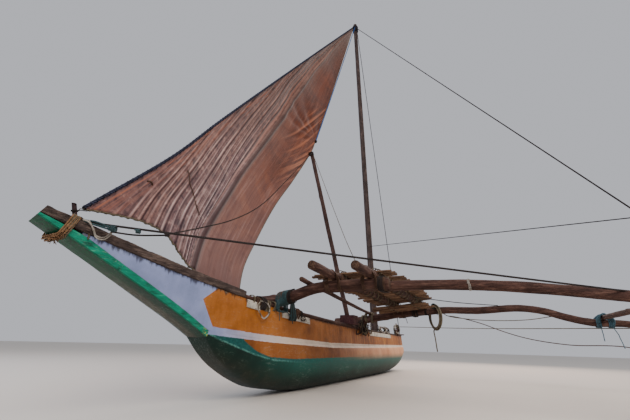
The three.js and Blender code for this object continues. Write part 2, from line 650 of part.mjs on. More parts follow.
// columns: radius, height along the mast
const MAST_PROFILE = [
  [0, -40], [20, -34.64], [34.64, -20], [40, 0], [42, 30], [70, 110], [78, 300], [76, 1000], [66, 2600],
  [60, 5200], [50, mastLength - 40], [50, mastLength], [0, mastLength],
];
const COLLAR_PROFILE = [[50 + GAP, 0], [72, 10], [78, 100], [72, 190], [50 + GAP, 200], [50 + GAP, 0]];
function turned(rows, height, grow) {
  const points = rows.map(([radius, h]) => new THREE.Vector2(radius > 0 ? radius + grow : 0, h));
  const geometry = new THREE.LatheGeometry(points, MAST_SIDES);
  return solid(geometry, new THREE.Matrix4().compose(mastPoint(height), lean, UNIT));
}
const COLLAR_HEIGHT = mastLength - 260;
add('mast', 'pole', turned(MAST_PROFILE, 0, 0));
const mastCutter = turned(MAST_PROFILE, 0, GAP);

// Masthead lashing, a collar that the sail and the stay come to
add('masthead_lashing', 'rope', cut(turned(COLLAR_PROFILE, COLLAR_HEIGHT, 0), mastCutter));
const loweredCollar = COLLAR_PROFILE.map(([radius, h]) => [radius, h === 0 ? -GAP : h]);
const collarCutter = turned(loweredCollar, COLLAR_HEIGHT, GAP);

// Sail: a thin closed sheet between tack, peak, leech and clew, with a belly to the lee side.
// Each edge is a row of places, x, y and z.
const HEAD_EDGE = [SAIL_TACK, [3380, 10, 2060], [2890, 5, 2800], [800, 40, 5880], SAIL_PEAK];
const LEECH = [
  SAIL_CLEW, [2210, -20, 1270], [2060, -10, 1620], [1740, 0, 2205], [1300, 0, 2820],
  [760, 10, 3660], [640, 20, 3960], [0, 55, 5590], SAIL_PEAK,
];
const FOOT_EDGE = [
  SAIL_TACK, [3800, 12, 1350], [3510, 0, 1384], [3270, -8, 1350], [3080, -12, 1220],
  [2820, -16, 1060], SAIL_CLEW,
];
const headCurve = curveOf(HEAD_EDGE);
const leechCurve = curveOf(LEECH);
const footCurve = curveOf(FOOT_EDGE);
const SAIL_STEPS = 16;
const SAIL_BELLY = 190;
function sailPoint(u, v) {
  const luff = headCurve.getPointAt(v);
  const leech = leechCurve.getPointAt(v);
  const low = footCurve.getPointAt(u);
  const clew = new THREE.Vector3(...SAIL_CLEW);
  const tack = new THREE.Vector3(...SAIL_TACK);
  const across = luff.clone().lerp(leech, u);
  const lift = low.clone().sub(tack.clone().lerp(clew, u)).multiplyScalar((1 - v) ** 2);
  across.add(lift);
  across.y -= SAIL_BELLY * Math.sin(Math.PI * u) * Math.sin(Math.PI * Math.min(v * 1.15, 1)) * (1 - v * 0.3);
  return across;
}
const sheet = new THREE.BoxGeometry(1, 1, 1, SAIL_STEPS, SAIL_STEPS, 1);
const spots = sheet.attributes.position;
for (let i = 0; i < spots.count; i++) {
  const v = Math.min(spots.getY(i) + 0.5, 0.992);
  const p = sailPoint(spots.getX(i) + 0.5, v);
  p.y += spots.getZ(i) * SAIL_THICK;
  spots.setXYZ(i, p.x, p.y, p.z);
}
let sail = solid(sheet);
if (sail.volume() < 0) {
  const order = Array.from(sheet.index.array);
  sheet.setIndex(order.map((_, i) => order[i - (i % 3) + (2 - (i % 3))]));
  sail = solid(sheet);
}
add('sail', 'sail', mainBody(cut(sail, mastCutter, collarCutter, pegCutter)));

// Taut lines. The outrigger stay is thick at its knot, and the mid stay ends there.
const STAY_RADIUS = 8;
const MID_STAY_RADIUS = 6;
const KNOT_RADIUS = 22;
const KNOT_HALF = 40;
const MID_STAY_HEIGHT = 2560;
const at3 = (p) => new THREE.Vector3(...p);
const towards = (from, to, distance) => {
  const start = at3(from);
  return start.addScaledVector(at3(to).sub(start).normalize(), distance).toArray();
};
const STAY_TOP = [-1290, 190, 8880];
const STAY_KNOT = [1150, 3760, 1700];
const STAY_FOOT = [NEAR_OUTER_X, 4460, 590];
const stayPoints = [
  STAY_TOP, towards(STAY_KNOT, STAY_TOP, KNOT_HALF), STAY_KNOT,
  towards(STAY_KNOT, STAY_FOOT, KNOT_HALF), STAY_FOOT,
];
const stayRadii = [STAY_RADIUS, STAY_RADIUS, KNOT_RADIUS, STAY_RADIUS, STAY_RADIUS];
const stay = mainBody(cut(pole(stayPoints, stayRadii, 6), collarCutter, mastCutter, grown(NEAR_OUTER)));
add('outrigger_stay', 'line', stay);

const midMast = mastPoint(MID_STAY_HEIGHT).toArray();
const midPoints = [towards(midMast, STAY_KNOT, 69), towards(STAY_KNOT, midMast, KNOT_RADIUS + 1)];
add('mid_stay', 'line', pole(midPoints, [MID_STAY_RADIUS, MID_STAY_RADIUS], 6));

const GUY = [[PEG.x - 10, PEG.y + 10, 1226], [NEAR_OUTER_X, 3350, 955]];
const guy = pole(GUY, [STAY_RADIUS, STAY_RADIUS], 6);
const lashingCutter = box([PROW_LASHING.x, 0, PROW_LASHING.z],
  [PROW_LASHING.length + 2 * GAP, 2 * PROW_LASHING.halfAcross, 2 * PROW_LASHING.halfUp]);
add('prow_guy', 'line', mainBody(cut(guy, lashingCutter, pegCutter, bowRail(1, GAP), grown(NEAR_OUTER))));

// Coil of rope hung on the far boom, and its loose end
const COIL = { y: 1500, middle: 190, thick: 34 };
const coilTop = topOf(FAR_OUTER, COIL.y);
const ring = [];
for (let k = 0; k < 8; k++) {
  const angle = (k / 8) * 2 * Math.PI;
  ring.push(new THREE.Vector2(COIL.middle + COIL.thick * Math.cos(angle), COIL.thick * Math.sin(angle)));
}
ring.push(ring[0].clone());
const coil = new THREE.LatheGeometry(ring, 24);
const coilPlace = new THREE.Matrix4()
  .makeTranslation(FAR_OUTER_X, COIL.y, coilTop - COIL.middle + COIL.thick - SEAT_BITE);
add('rope_coil', 'rope', cut(solid(coil, coilPlace), grown(FAR_OUTER)));
const coilBottom = coilTop - 2 * COIL.middle - SEAT_BITE;
add('rope_end', 'rope', rope([
  [FAR_OUTER_X, COIL.y, coilBottom - 0.6], [FAR_OUTER_X, COIL.y, coilBottom - 40],
  [FAR_OUTER_X + 5, COIL.y + 10, coilBottom - 130], [FAR_OUTER_X - 4, COIL.y + 22, coilBottom - 240],
  [FAR_OUTER_X, COIL.y + 26, coilBottom - 350],
], 10, 12));

export default canoe;
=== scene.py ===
"""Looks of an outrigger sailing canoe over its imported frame. Metres, +X prow, +Y outrigger, +Z up."""

import math
import random

import bmesh
import bpy
import numpy as np
from mathutils import Matrix, Vector, noise


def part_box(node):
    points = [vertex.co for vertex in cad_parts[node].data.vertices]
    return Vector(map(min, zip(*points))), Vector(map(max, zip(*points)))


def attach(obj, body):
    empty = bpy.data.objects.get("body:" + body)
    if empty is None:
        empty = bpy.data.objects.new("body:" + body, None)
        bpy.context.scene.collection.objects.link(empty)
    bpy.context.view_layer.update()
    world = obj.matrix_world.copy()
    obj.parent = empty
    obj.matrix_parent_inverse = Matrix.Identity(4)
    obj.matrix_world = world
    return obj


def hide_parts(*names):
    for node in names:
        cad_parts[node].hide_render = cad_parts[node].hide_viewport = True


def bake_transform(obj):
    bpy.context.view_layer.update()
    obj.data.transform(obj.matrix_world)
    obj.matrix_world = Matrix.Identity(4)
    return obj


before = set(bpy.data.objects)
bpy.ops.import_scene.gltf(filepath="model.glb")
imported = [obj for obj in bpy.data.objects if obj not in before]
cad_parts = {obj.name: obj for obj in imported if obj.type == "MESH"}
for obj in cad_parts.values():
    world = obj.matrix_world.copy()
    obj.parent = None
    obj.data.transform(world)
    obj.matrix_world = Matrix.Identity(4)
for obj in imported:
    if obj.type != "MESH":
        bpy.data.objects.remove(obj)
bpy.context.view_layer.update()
UP = np.array([0.0, 0.0, 1.0])
SHARP_ANGLE = math.radians(35)  # between two faces that keep a hard edge

# Camera, as fitted to the photograph
CAMERA_AT = Vector((5.064, 2.357, 0.509))
CAMERA_YAW, CAMERA_PITCH, CAMERA_ROLL = (math.radians(a) for a in (27.640, 22.447, -1.588))
CAMERA_LENS = 18.75


def linked(name, data):
    """New object with the data, in the scene."""
    made = bpy.data.objects.new(name, data)
    bpy.context.scene.collection.objects.link(made)
    return made


def make_camera():
    forward = Vector((-math.cos(CAMERA_YAW) * math.cos(CAMERA_PITCH),
                      -math.sin(CAMERA_YAW) * math.cos(CAMERA_PITCH), math.sin(CAMERA_PITCH)))
    level = forward.cross(Vector((0, 0, 1))).normalized()
    upright = level.cross(forward)
    right = level * math.cos(CAMERA_ROLL) - upright * math.sin(CAMERA_ROLL)
    up = upright * math.cos(CAMERA_ROLL) + level * math.sin(CAMERA_ROLL)
    data = bpy.data.cameras.new("camera")
    data.lens = CAMERA_LENS
    data.sensor_width = 36
    data.clip_start, data.clip_end = 0.05, 400
    camera = linked("camera", data)
    turn = Matrix((right, up, -forward)).transposed()
    camera.matrix_world = Matrix.Translation(CAMERA_AT) @ turn.to_4x4()
    bpy.context.scene.camera = camera


make_camera()


# Curves and tables

def smooth_table(rows):
    """Function of the first column that runs smoothly through the rows and never overshoots them."""
    rows = np.array(sorted(rows), float)
    x, y = rows[:, 0], rows[:, 1:]
    step = np.diff(x)[:, None]
    slope = np.diff(y, axis=0) / step
    tangent = np.zeros_like(y)
    tangent[0], tangent[-1] = slope[0], slope[-1]
    same = slope[:-1] * slope[1:] > 0
    mean = np.where(same, 2 * slope[:-1] * slope[1:] / np.where(same, slope[:-1] + slope[1:], 1), 0)
    tangent[1:-1] = mean

    def at(value):
        value = min(max(value, x[0]), x[-1])
        i = min(max(int(np.searchsorted(x, value)) - 1, 0), len(x) - 2)
        t = (value - x[i]) / (x[i + 1] - x[i])
        h = x[i + 1] - x[i]
        return (y[i] * (1 + 2 * t) * (1 - t) ** 2 + h * tangent[i] * t * (1 - t) ** 2
                + y[i + 1] * t * t * (3 - 2 * t) + h * tangent[i + 1] * t * t * (t - 1))
    return at


def through(points, spacing):
    """Points about spacing apart on a centripetal curve through the given ones."""
    p = np.array(points, float)
    if len(p) == 2:
        count = max(2, round(np.linalg.norm(p[1] - p[0]) / spacing) + 1)
        return p[0] + np.linspace(0, 1, count)[:, None] * (p[1] - p[0])
    p = np.vstack([2 * p[0] - p[1], p, 2 * p[-1] - p[-2]])
    fine = []
    for i in range(1, len(p) - 2):
        knots = [0.0]
        for a, b in zip(p[i - 1:i + 2], p[i:i + 3]):
            knots.append(knots[-1] + max(np.linalg.norm(b - a), 1e-6) ** 0.5)
        t0, t1, t2, t3 = knots
        t = np.linspace(t1, t2, 24, endpoint=False)[:, None]
        a1 = (t1 - t) / (t1 - t0) * p[i - 1] + (t - t0) / (t1 - t0) * p[i]
        a2 = (t2 - t) / (t2 - t1) * p[i] + (t - t1) / (t2 - t1) * p[i + 1]
        a3 = (t3 - t) / (t3 - t2) * p[i + 1] + (t - t2) / (t3 - t2) * p[i + 2]
        b1 = (t2 - t) / (t2 - t0) * a1 + (t - t0) / (t2 - t0) * a2
        b2 = (t3 - t) / (t3 - t1) * a2 + (t - t1) / (t3 - t1) * a3
        fine.append((t2 - t) / (t2 - t1) * b1 + (t - t1) / (t2 - t1) * b2)
    fine = np.vstack([*fine, p[-2]])
    return spaced(fine, spacing)


def lengths_along(line):
    """Distance along the line from its start to each point."""
    return np.concatenate([[0], np.cumsum(np.linalg.norm(np.diff(line, axis=0), axis=1))])


def sample(line, marks, at):
    """Points of the line where its marks have the values at."""
    return np.stack([np.interp(at, marks, column) for column in line.T], axis=-1)


def spaced(line, spacing):
    """The same line with evenly spaced points."""
    line = np.array(line, float)
    marks = lengths_along(line)
    return sample(line, marks, np.linspace(0, marks[-1], max(2, round(marks[-1] / spacing) + 1)))


def unit(v):
    v = np.array(v, float)
    return v / max(np.linalg.norm(v), 1e-12)


def wobble(p, scale, seed=0.0):
    """Smooth noise from -1 to 1 at a point."""
    return noise.noise(Vector((p[0] * scale + seed, p[1] * scale - seed, p[2] * scale + 2 * seed)))


# Meshes

def new_object(name, verts, faces, materials, uvs=None, face_slots=None, smooth=True, body="hull"):
    """Mesh object that rides with a body; with body None it rides with none."""
    mesh = bpy.data.meshes.new(name)
    mesh.from_pydata([tuple(v) for v in verts], [], faces)
    for material in materials:
        mesh.materials.append(material)
    if face_slots is not None:
        mesh.polygons.foreach_set("material_index", face_slots)
    mesh.polygons.foreach_set("use_smooth", [smooth] * len(mesh.polygons))
    if uvs is not None:
        layer = mesh.uv_layers.new(name="UVMap")
        layer.data.foreach_set("uv", np.array(uvs, np.float32).ravel())
    mesh.update()
    made = linked(name, mesh)
    if body:
        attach(made, body)
    return made


def stand_for(made, slot_name, *nodes):
    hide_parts(*nodes)
    return made


class Builder:
    """Gathers vertices, faces and uvs of one piece."""

    def __init__(self):
        self.verts, self.faces, self.uvs, self.slots = [], [], [], []

    def rings(self, rings, closed=True, caps=(True, True), uv=None, slot=0, cap_slot=None, flip=False):
        """Skin over rings of equal count. uv(i, j) gives the uv of ring i, point j; j may equal the count."""
        n, m = len(rings), len(rings[0])
        base = len(self.verts)
        self.verts.extend(np.array(rings, float).reshape(-1, 3))
        uv = uv or (lambda i, j: (i / n, j / m))
        for i in range(n - 1):
            for j in range(m if closed else m - 1):
                k = (j + 1) % m
                quad = [(i, j, j), (i, k, j + 1), (i + 1, k, j + 1), (i + 1, j, j)]
                if flip:
                    quad.reverse()
                self.faces.append([base + a * m + b for a, b, _ in quad])
                self.uvs.extend(uv(a, c) for a, _, c in quad)
                self.slots.append(slot)
        cap_slot = slot if cap_slot is None else cap_slot
        for end, wanted in zip((0, n - 1), caps):
            if wanted:
                self.cap(base + end * m, m, (end == 0) != flip, cap_slot, rings[end])
        return self

    def cap(self, first, m, reverse, slot, ring):
        centre = len(self.verts)
        self.verts.append(np.array(ring, float).mean(0))
        for j in range(m):
            tri = [centre, first + j, first + (j + 1) % m]
            if reverse:
                tri.reverse()
            self.faces.append(tri)
            self.uvs.extend([(0.0, 0.0)] * 3)
            self.slots.append(slot)

    def object(self, name, materials, body="hull", smooth=True):
        return new_object(name, self.verts, self.faces, materials, self.uvs, self.slots, smooth, body)


def frames_along(line):
    """A side and an up vector at each point, carried along without twist."""
    line = np.array(line, float)
    along = np.gradient(line, axis=0)
    along /= np.maximum(np.linalg.norm(along, axis=1, keepdims=True), 1e-12)
    reference = UP if abs(along[0][2]) < 0.9 else np.array([1.0, 0, 0])
    side = unit(np.cross(along[0], reference))
    sides = []
    for t in along:
        side = unit(side - t * (side @ t))
        sides.append(side)
    sides = np.array(sides)
    return along, sides, np.cross(sides, along)


def tube_rings(line, radius, sides, shape=None):
    """Rings round a line. radius is a number or one for each point, shape(i, angle) a factor on it."""
    _, side, up = frames_along(line)
    radius = np.broadcast_to(radius, len(line))
    angles = np.arange(sides) / sides * 2 * math.pi
    factor = np.ones((len(line), sides))
    if shape is not None:
        factor = np.array([[shape(i, a) for a in angles] for i in range(len(line))])
    c, s = (turned(angles) * factor * radius[:, None] for turned in (np.cos, np.sin))
    return np.array(line)[:, None, :] + c[..., None] * side[:, None, :] + s[..., None] * up[:, None, :]


def rope_piece(name, materials, ropes, nodes=(), body="hull", sides=6, blend=None):
    """One piece of ropes, each (line, radius, material) and its sides where they differ.
    A rope's uv runs along it in diameters and once round."""
    builder = Builder()
    for line, radius, material, *own_sides in ropes:
        line, around = np.array(line), own_sides[0] if own_sides else sides
        marks = lengths_along(line) / (2 * radius)
        builder.rings(tube_rings(line, radius, around), slot=material,
                      uv=lambda i, j, marks=marks, around=around: (marks[i], j / around))
    made = builder.object(name, materials, None if blend else body)
    if nodes:
        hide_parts(*nodes)
    if blend:
        start, end = (tuple(map(float, p)) for p in blend)
        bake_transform(made)
        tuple(start)
        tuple(end)
    return made


# Materials
STRANDS, STRAND_PITCH = 3, 0.42


def rgb(*display):
    """Display colour, 0 to 255, as the linear one that shaders take."""
    return tuple(c / 255 / 12.92 if c <= 10 else ((c / 255 + 0.055) / 1.055) ** 2.4 for c in display) + (1,)


def darker(colour, share):
    return tuple(c * share for c in colour[:3]) + (1,)


class Out:
    """A node's output. Arithmetic on it adds the node that does it."""

    def __init__(self, shade, socket):
        self.shade, self.socket = shade, socket

    def __add__(self, other):
        return self.shade.math("ADD", self, other)

    def __sub__(self, other):
        return self.shade.math("SUBTRACT", self, other)

    def __rsub__(self, other):
        return self.shade.math("SUBTRACT", other, self)

    def __mul__(self, other):
        return self.shade.math("MULTIPLY", self, other)

    def __abs__(self):
        return self.shade.math("ABSOLUTE", self)

    __radd__, __rmul__ = __add__, __mul__

    def band(self, low, high):
        """0 at low, 1 at high, straight between; low may be above high."""
        limits = {"Value": self, "From Min": low, "From Max": high}
        return self.shade.node("ShaderNodeMapRange", limits, clamp=True)


class Shade:
    """One material and short calls for its nodes. An input is a value or another node's output."""

    def __init__(self, name, roughness, specular, sheen=0.0):
        self.material = bpy.data.materials.new(name)
        self.material.use_nodes = True
        self.tree = self.material.node_tree
        self.shader = self.tree.nodes["Principled BSDF"]
        for key, value in (("Roughness", roughness), ("Specular IOR Level", specular),
                           ("Sheen Weight", sheen)):
            self.shader.inputs[key].default_value = value

    def set(self, socket, value):
        if isinstance(value, Out):
            self.tree.links.new(value.socket, socket)
        elif value is not None:
            socket.default_value = value

    def node(self, kind, inputs=(), out=0, **properties):
        made = self.tree.nodes.new(kind)
        for key, value in properties.items():
            setattr(made, key, value)
        for key, value in dict(inputs).items():
            self.set(made.inputs[key], value)
        return Out(self, made.outputs[out])

    def place(self, scale=(1, 1, 1), turn=(0, 0, 0), source=None):
        """Where a point is on the object, or in the source, scaled and turned."""
        source = source or self.node("ShaderNodeTexCoord", out="Object")
        return self.node("ShaderNodeMapping", {"Vector": source, "Scale": scale, "Rotation": turn})

    def split(self, vector):
        made = self.tree.nodes.new("ShaderNodeSeparateXYZ")
        self.set(made.inputs[0], vector)
        return [Out(self, part) for part in made.outputs]

    def noise(self, vector, scale, detail=4.0, rough=0.55, distortion=0.0):
        return self.node("ShaderNodeTexNoise", {"Vector": vector, "Scale": scale, "Detail": detail,
                                                "Roughness": rough, "Distortion": distortion})

    def math(self, operation, *values):
        return self.node("ShaderNodeMath", enumerate(values), operation=operation)

    def mix(self, factor, a, b, blend="MIX"):
        made = self.tree.nodes.new("ShaderNodeMix")
        made.data_type, made.blend_type = "RGBA", blend
        for key, value in ((0, factor), (6, a), (7, b)):
            self.set(made.inputs[key], value)
        return Out(self, made.outputs[2])

    def over(self, colour, *coats):
        """The colour under coats of (factor, colour), the last one on top."""
        for factor, coat in coats:
            colour = self.mix(factor, colour, coat)
        return colour

    def tint(self, colour, by):
        return self.mix(1.0, colour, by, "MULTIPLY")

    def ramp(self, factor, *stops):
        made = self.tree.nodes.new("ShaderNodeValToRGB")
        self.set(made.inputs[0], factor)
        elements = made.color_ramp.elements
        while len(elements) < len(stops):
            elements.new(0.5)
        for element, (at, colour) in zip(elements, stops):
            element.position, element.color = at, colour
        return Out(self, made.outputs[0])

    def line(self, value, points):
        """Height read from points (along, height) by the value."""
        low, high, top = -4.4, 4.4, 1.6
        made = self.tree.nodes.new("ShaderNodeFloatCurve")
        curve = made.mapping.curves[0]
        rows = [((a - low) / (high - low), h / top) for a, h in sorted(points)]
        while len(curve.points) < len(rows):
            curve.points.new(0.5, 0.5)
        for point, row in zip(curve.points, rows):
            point.location = row
            point.handle_type = "VECTOR"
        made.mapping.update()
        self.set(made.inputs["Value"], value.band(low, high))
        return Out(self, made.outputs[0]) * top

    def finish(self, colour, height=None, bump=0.5, deep=0.004, roughness=None):
        self.set(self.shader.inputs["Base Color"], colour)
        self.set(self.shader.inputs["Roughness"], roughness)
        if height is not None:
            made = self.node("ShaderNodeBump", {"Height": height, "Strength": bump, "Distance": deep})
            self.set(self.shader.inputs["Normal"], made)
        return self.material


def wood(name, axis, dark, mid, light, worn=0.5, deep=0.003):
    """Weathered wood with grain and drying cracks along one axis."""
    s = Shade(name, 0.85, 0.25)
    thin = {"X": (0.09, 1, 1), "Y": (1, 0.09, 1), "Z": (1, 1, 0.07)}[axis]
    cracked = {"X": (0.045, 1, 1), "Y": (1, 0.045, 1), "Z": (1, 1, 0.035)}[axis]
    along = s.place(thin)
    fine = s.noise(along, 190, 6, 0.65)
    coarse = s.noise(along, 38, 5, 0.6, 0.4)
    blotch = s.noise(s.place(), 5.5, 4, 0.6)
    crack = abs(s.noise(s.place(cracked), 46, 3, 0.5) - 0.5).band(0.012, 0.0)
    grain = fine * 0.45 + coarse * 0.55
    colour = s.ramp(grain, (0.3, dark), (0.5, mid), (0.72, light))
    shade = s.ramp(blotch, (0.3, (0.55, 0.53, 0.52, 1)), (0.62, (1.05, 1.02, 1.0, 1)),
                   (0.8, (1.25, 1.2, 1.15, 1)))
    colour = s.mix(crack * worn, s.tint(colour, shade), darker(dark, 0.22))
    height = grain - crack * (0.9 * worn)
    return s.finish(colour, height, 0.75, deep)


def end_grain(name, dark, light):
    """Sawn end of a log: dark heart, checks and dirt."""
    s = Shade(name, 0.9, 0.2)
    spots = s.noise(s.place(), 60, 5, 0.6)
    checks = abs(s.noise(s.place(), 24, 3) - 0.5).band(0.02, 0.0)
    colour = s.mix(checks * 0.8, s.ramp(spots, (0.3, dark), (0.7, light)), rgb(22, 16, 14))
    return s.finish(colour, spots - checks, 0.6, 0.003)


def rope_look(name, groove_shade, body, light, fuzz=0.5, sheen=0.0):
    """Laid rope: three strands that turn round it, with fibres, dirt and bleached stretches."""
    s = Shade(name, 0.9, 0.2, sheen)
    along, round_it, _ = s.split(s.node("ShaderNodeTexCoord", out="UV"))
    turn = along * STRAND_PITCH + round_it
    lay = abs(s.math("SINE", turn * (math.pi * STRANDS)))
    fibre = s.noise(s.place(), 420, 4, 0.7)
    dirt = s.noise(s.place(), 17, 4, 0.6)
    height = lay + fibre * fuzz
    # Painted shade in the grooves between the strands and a painted highlight on their crowns.
    colour = s.ramp(lay * 0.6 + fibre * 0.4, (0.15, groove_shade), (0.5, body), (0.9, light))
    colour = s.tint(colour, s.ramp(dirt, (0.3, (0.5, 0.47, 0.45, 1)), (0.6, (1, 1, 1, 1))))
    return s.finish(colour, height, 0.9, 0.003)


# Lines of the paint on the hull, in metres along and up
STRIPE_TOP = [(-4.4, 0.575), (-4.0, 0.573), (-1.5, 0.556), (0.4, 0.552), (1.9, 0.598), (2.1, 0.604),
              (2.75, 0.642), (4.4, 0.70)]
STRIPE_BOTTOM = [(-4.4, 0.536), (-4.0, 0.532), (-1.5, 0.502), (0.4, 0.486), (1.9, 0.528), (2.1, 0.537),
                 (2.75, 0.575), (4.4, 0.64)]
LOW_BAND = [(-4.4, 0.35), (-3.3, 0.346), (0.5, 0.360), (1.5, 0.362), (1.94, 0.386), (2.16, 0.440),
            (2.33, 0.529), (2.40, 0.62), (2.45, 1.5), (4.4, 1.5)]
CREASE = [(-4.4, 0.40), (-1.8, 0.312), (0.4, 0.302), (1.4, 0.325), (1.9, 0.354), (2.2, 0.411), (2.45, 0.477),
          (2.62, 0.532), (2.765, 0.580), (4.4, 1.2)]
PLANK_TOP = [(-4.22, 0.795), (-1.8, 0.793), (0.4, 0.822), (1.4, 0.862), (1.9, 0.897), (2.4, 0.938),
             (2.86, 0.986), (3.15, 1.02), (3.5, 1.072), (3.96, 1.146)]
PAINT_EDGE = 0.002  # half the width over which one colour turns into the next
ARROW_POINT, ARROW_Z, ARROW_SLOPE_TOP, ARROW_SLOPE_LOW = 2.902, 0.859, 1.33, 0.79
BARE = rgb(78, 60, 50)


def painted(name, kind):
    """Worn hull paint, with painted light and shade. kind is log, plank or beam."""
    s = Shade(name, 0.45, 0.22)
    x, y, z = s.split(s.node("ShaderNodeTexCoord", out="Object"))
    z_edge = z + (s.noise(s.place(), 22, 3) - 0.5) * 0.014
    streak = s.noise(s.place((1, 1, 0.11)), 34, 5, 0.62, 0.3)
    wide_streak = s.noise(s.place((1, 1, 0.16)), 11, 4, 0.6, 0.4)
    grain = s.noise(s.place((0.1, 1, 1)), 60, 5, 0.6)
    blotch = s.noise(s.place(), 2.6, 5, 0.62)
    small = s.noise(s.place(), 48, 5, 0.62)
    speck = s.noise(s.place(), 240, 4, 0.7)
    aft = x.band(1.4, -1.2)

    ochre = s.ramp(blotch, (0.32, rgb(112, 64, 22)), (0.48, rgb(150, 88, 30)), (0.72, rgb(176, 110, 46)))
    ochre = s.over(ochre, (streak.band(0.48, 0.62) * (0.12 + aft * 0.55), rgb(88, 46, 20)),
                   (wide_streak.band(0.46, 0.34) * (aft * 0.75), rgb(192, 132, 66)),
                   (wide_streak.band(0.55, 0.68) * (aft * 0.6), rgb(104, 56, 30)))
    # The white is painted bluish towards the prow, as painted sky light on it.
    sky_lit_bow = x.band(1.5, 2.7)
    white = s.mix(sky_lit_bow, s.ramp(blotch, (0.3, rgb(186, 170, 152)), (0.55, rgb(226, 208, 190))),
                  s.ramp(blotch, (0.3, rgb(112, 124, 158)), (0.55, rgb(136, 148, 190)),
                         (0.8, rgb(158, 168, 206))))
    green = s.ramp(blotch, (0.28, rgb(3, 32, 27)), (0.5, rgb(4, 54, 45)), (0.78, rgb(12, 76, 63)))

    if kind == "log":
        over_crease = z_edge - s.line(x, CREASE)
        # The shoulder above the crease is painted a lighter teal, as painted light from above.
        lit_shoulder = over_crease.band(-0.004, 0.004) * x.band(0.9, 1.7)
        # Painted light and shade: lighter teal higher up the bilge, and darker green towards the prow, where
        # the hull faces down.
        green = s.over(green, (z.band(0.14, 0.34) * x.band(2.3, 1.2),
                               s.ramp(small, (0.35, rgb(6, 74, 66)), (0.6, rgb(12, 96, 84)))),
                       (x.band(1.5, 2.4) * 0.75, rgb(4, 26, 20)))
        # Brown dirt in patches below the crease, then painted shade darker towards the keel, and the painted
        # light on the shoulder. The glint after it is a painted highlight along the crease.
        dirt = (z - s.line(x, CREASE)).band(-0.06, -0.22) * x.band(0.9, 2.0)
        green = s.over(green, (dirt * blotch.band(0.36, 0.56), rgb(44, 37, 24)),
                       (z.band(0.2, 0.01), rgb(7, 25, 22)),
                       (lit_shoulder * 0.85, s.ramp(small, (0.35, rgb(6, 62, 60)), (0.62, rgb(24, 88, 84)))))
        glint = abs(over_crease - 0.003).band(0.012, 0.003) * (x.band(1.3, 1.8) * small.band(0.38, 0.56))
        green = s.mix(glint * 0.6, green, rgb(92, 150, 138))
        faded = x.band(-0.4, -2.8) * z.band(0.22, 0.36)
        green = s.mix(faded * small.band(0.42, 0.72), green, rgb(72, 100, 92))
        pale = s.tint(ochre, rgb(222, 216, 210))
        pale = s.mix(x.band(0.3, -1.6) * 0.85, pale, s.ramp(blotch, (0.35, rgb(198, 134, 92)),
                                                            (0.6, rgb(224, 168, 126))))
        over_band = z_edge - s.line(x, LOW_BAND)
        rubbed = over_band + (small - 0.5) * 0.12
        low = s.mix(x.band(0.3, -0.9), over_band.band(-PAINT_EDGE, PAINT_EDGE), rubbed.band(-0.055, 0.05))
        top = (z_edge - s.line(x, STRIPE_BOTTOM)).band(-PAINT_EDGE, PAINT_EDGE)
        colour = s.mix(top, s.mix(low, green, pale), white)
    elif kind == "plank":
        above = (z_edge - s.line(x, STRIPE_TOP)).band(-PAINT_EDGE, PAINT_EDGE)
        rise = z - ARROW_Z
        back = s.math("MAXIMUM", rise * ARROW_SLOPE_TOP, rise * -ARROW_SLOPE_LOW)
        front = (ARROW_POINT - back - x).band(-PAINT_EDGE, PAINT_EDGE)
        colour = s.mix(above * front, white, ochre)
        under_rail = s.line(x, PLANK_TOP) - z + (streak - 0.5) * 0.16
        colour = s.mix(under_rail.band(0.028, 0.0) * 0.8, colour, rgb(38, 32, 32))
    else:
        # Painted light and shade: the upright sides carry the lit green, the underside the same paint darker
        # as painted shade, with worn grey-brown, a bluish grey edge and greener paint near the tip.
        side = abs(s.split(s.node("ShaderNodeNewGeometry", out="Normal"))[1]).band(0.45, 0.75)
        brushed = s.noise(s.place((0.28, 1, 1), turn=(0, -0.4, 0)), 34, 5, 0.62, 0.3)
        lit_side_green = s.ramp(brushed, (0.3, rgb(0, 62, 50)), (0.44, rgb(0, 112, 88)), (0.6, rgb(8, 132, 104)),
                        (0.76, rgb(78, 172, 142)))
        lit_side_green = s.mix(x.band(2.835, 2.79) * small.band(0.48, 0.58), lit_side_green, rgb(170, 172, 70))
        across = y + (grain - 0.5) * 0.16
        under = s.mix(across.band(0.05, -0.01), rgb(9, 50, 36),
                      s.ramp(grain, (0.34, rgb(28, 36, 28)), (0.5, rgb(64, 62, 50)),
                             (0.66, rgb(88, 92, 76))))
        under = s.over(under, (across.band(-0.085, -0.1) * 0.7, rgb(88, 108, 112)),
                       (x.band(3.4, 3.8), s.ramp(small, (0.38, rgb(0, 44, 28)), (0.6, rgb(0, 74, 48)))))
        colour = s.mix(side, under, lit_side_green)

    chips = small.band(0.665, 0.7) * blotch.band(0.42, 0.62)
    colour = s.mix(chips * 0.8, colour, BARE)
    scratch = abs(s.noise(s.place((0.16, 1, 1.0), turn=(0, 0.5, 0)), 30, 3) - 0.5).band(0.008, 0.0)
    colour = s.over(colour, (scratch * (blotch.band(0.46, 0.6) * 0.55), rgb(150, 164, 154)),
                    (speck.band(0.6, 0.76) * 0.3, rgb(54, 46, 40)))
    height = grain * 0.5 + small * 0.4 - chips * 0.5
    rough = 0.34 + small * 0.35
    return s.finish(colour, height, 0.4, 0.003, rough)


def flaked(name, paint, bare, cover=0.52):
    """Old board paint that has flaked off in places."""
    s = Shade(name, 0.7, 0.3)
    flakes = s.noise(s.place((0.5, 1, 1)), 34, 6, 0.68)
    grain = s.noise(s.place((0.1, 1, 1)), 120, 5, 0.6)
    under = s.ramp(grain, (0.3, darker(bare, 0.4)), (0.7, bare))
    coat = s.mix(s.noise(s.place(), 11, 4).band(0.4, 0.7), paint, darker(paint, 0.62))
    gone = flakes.band(cover, cover + 0.03)
    return s.finish(s.mix(gone, coat, under), grain - gone, 0.6, 0.002)


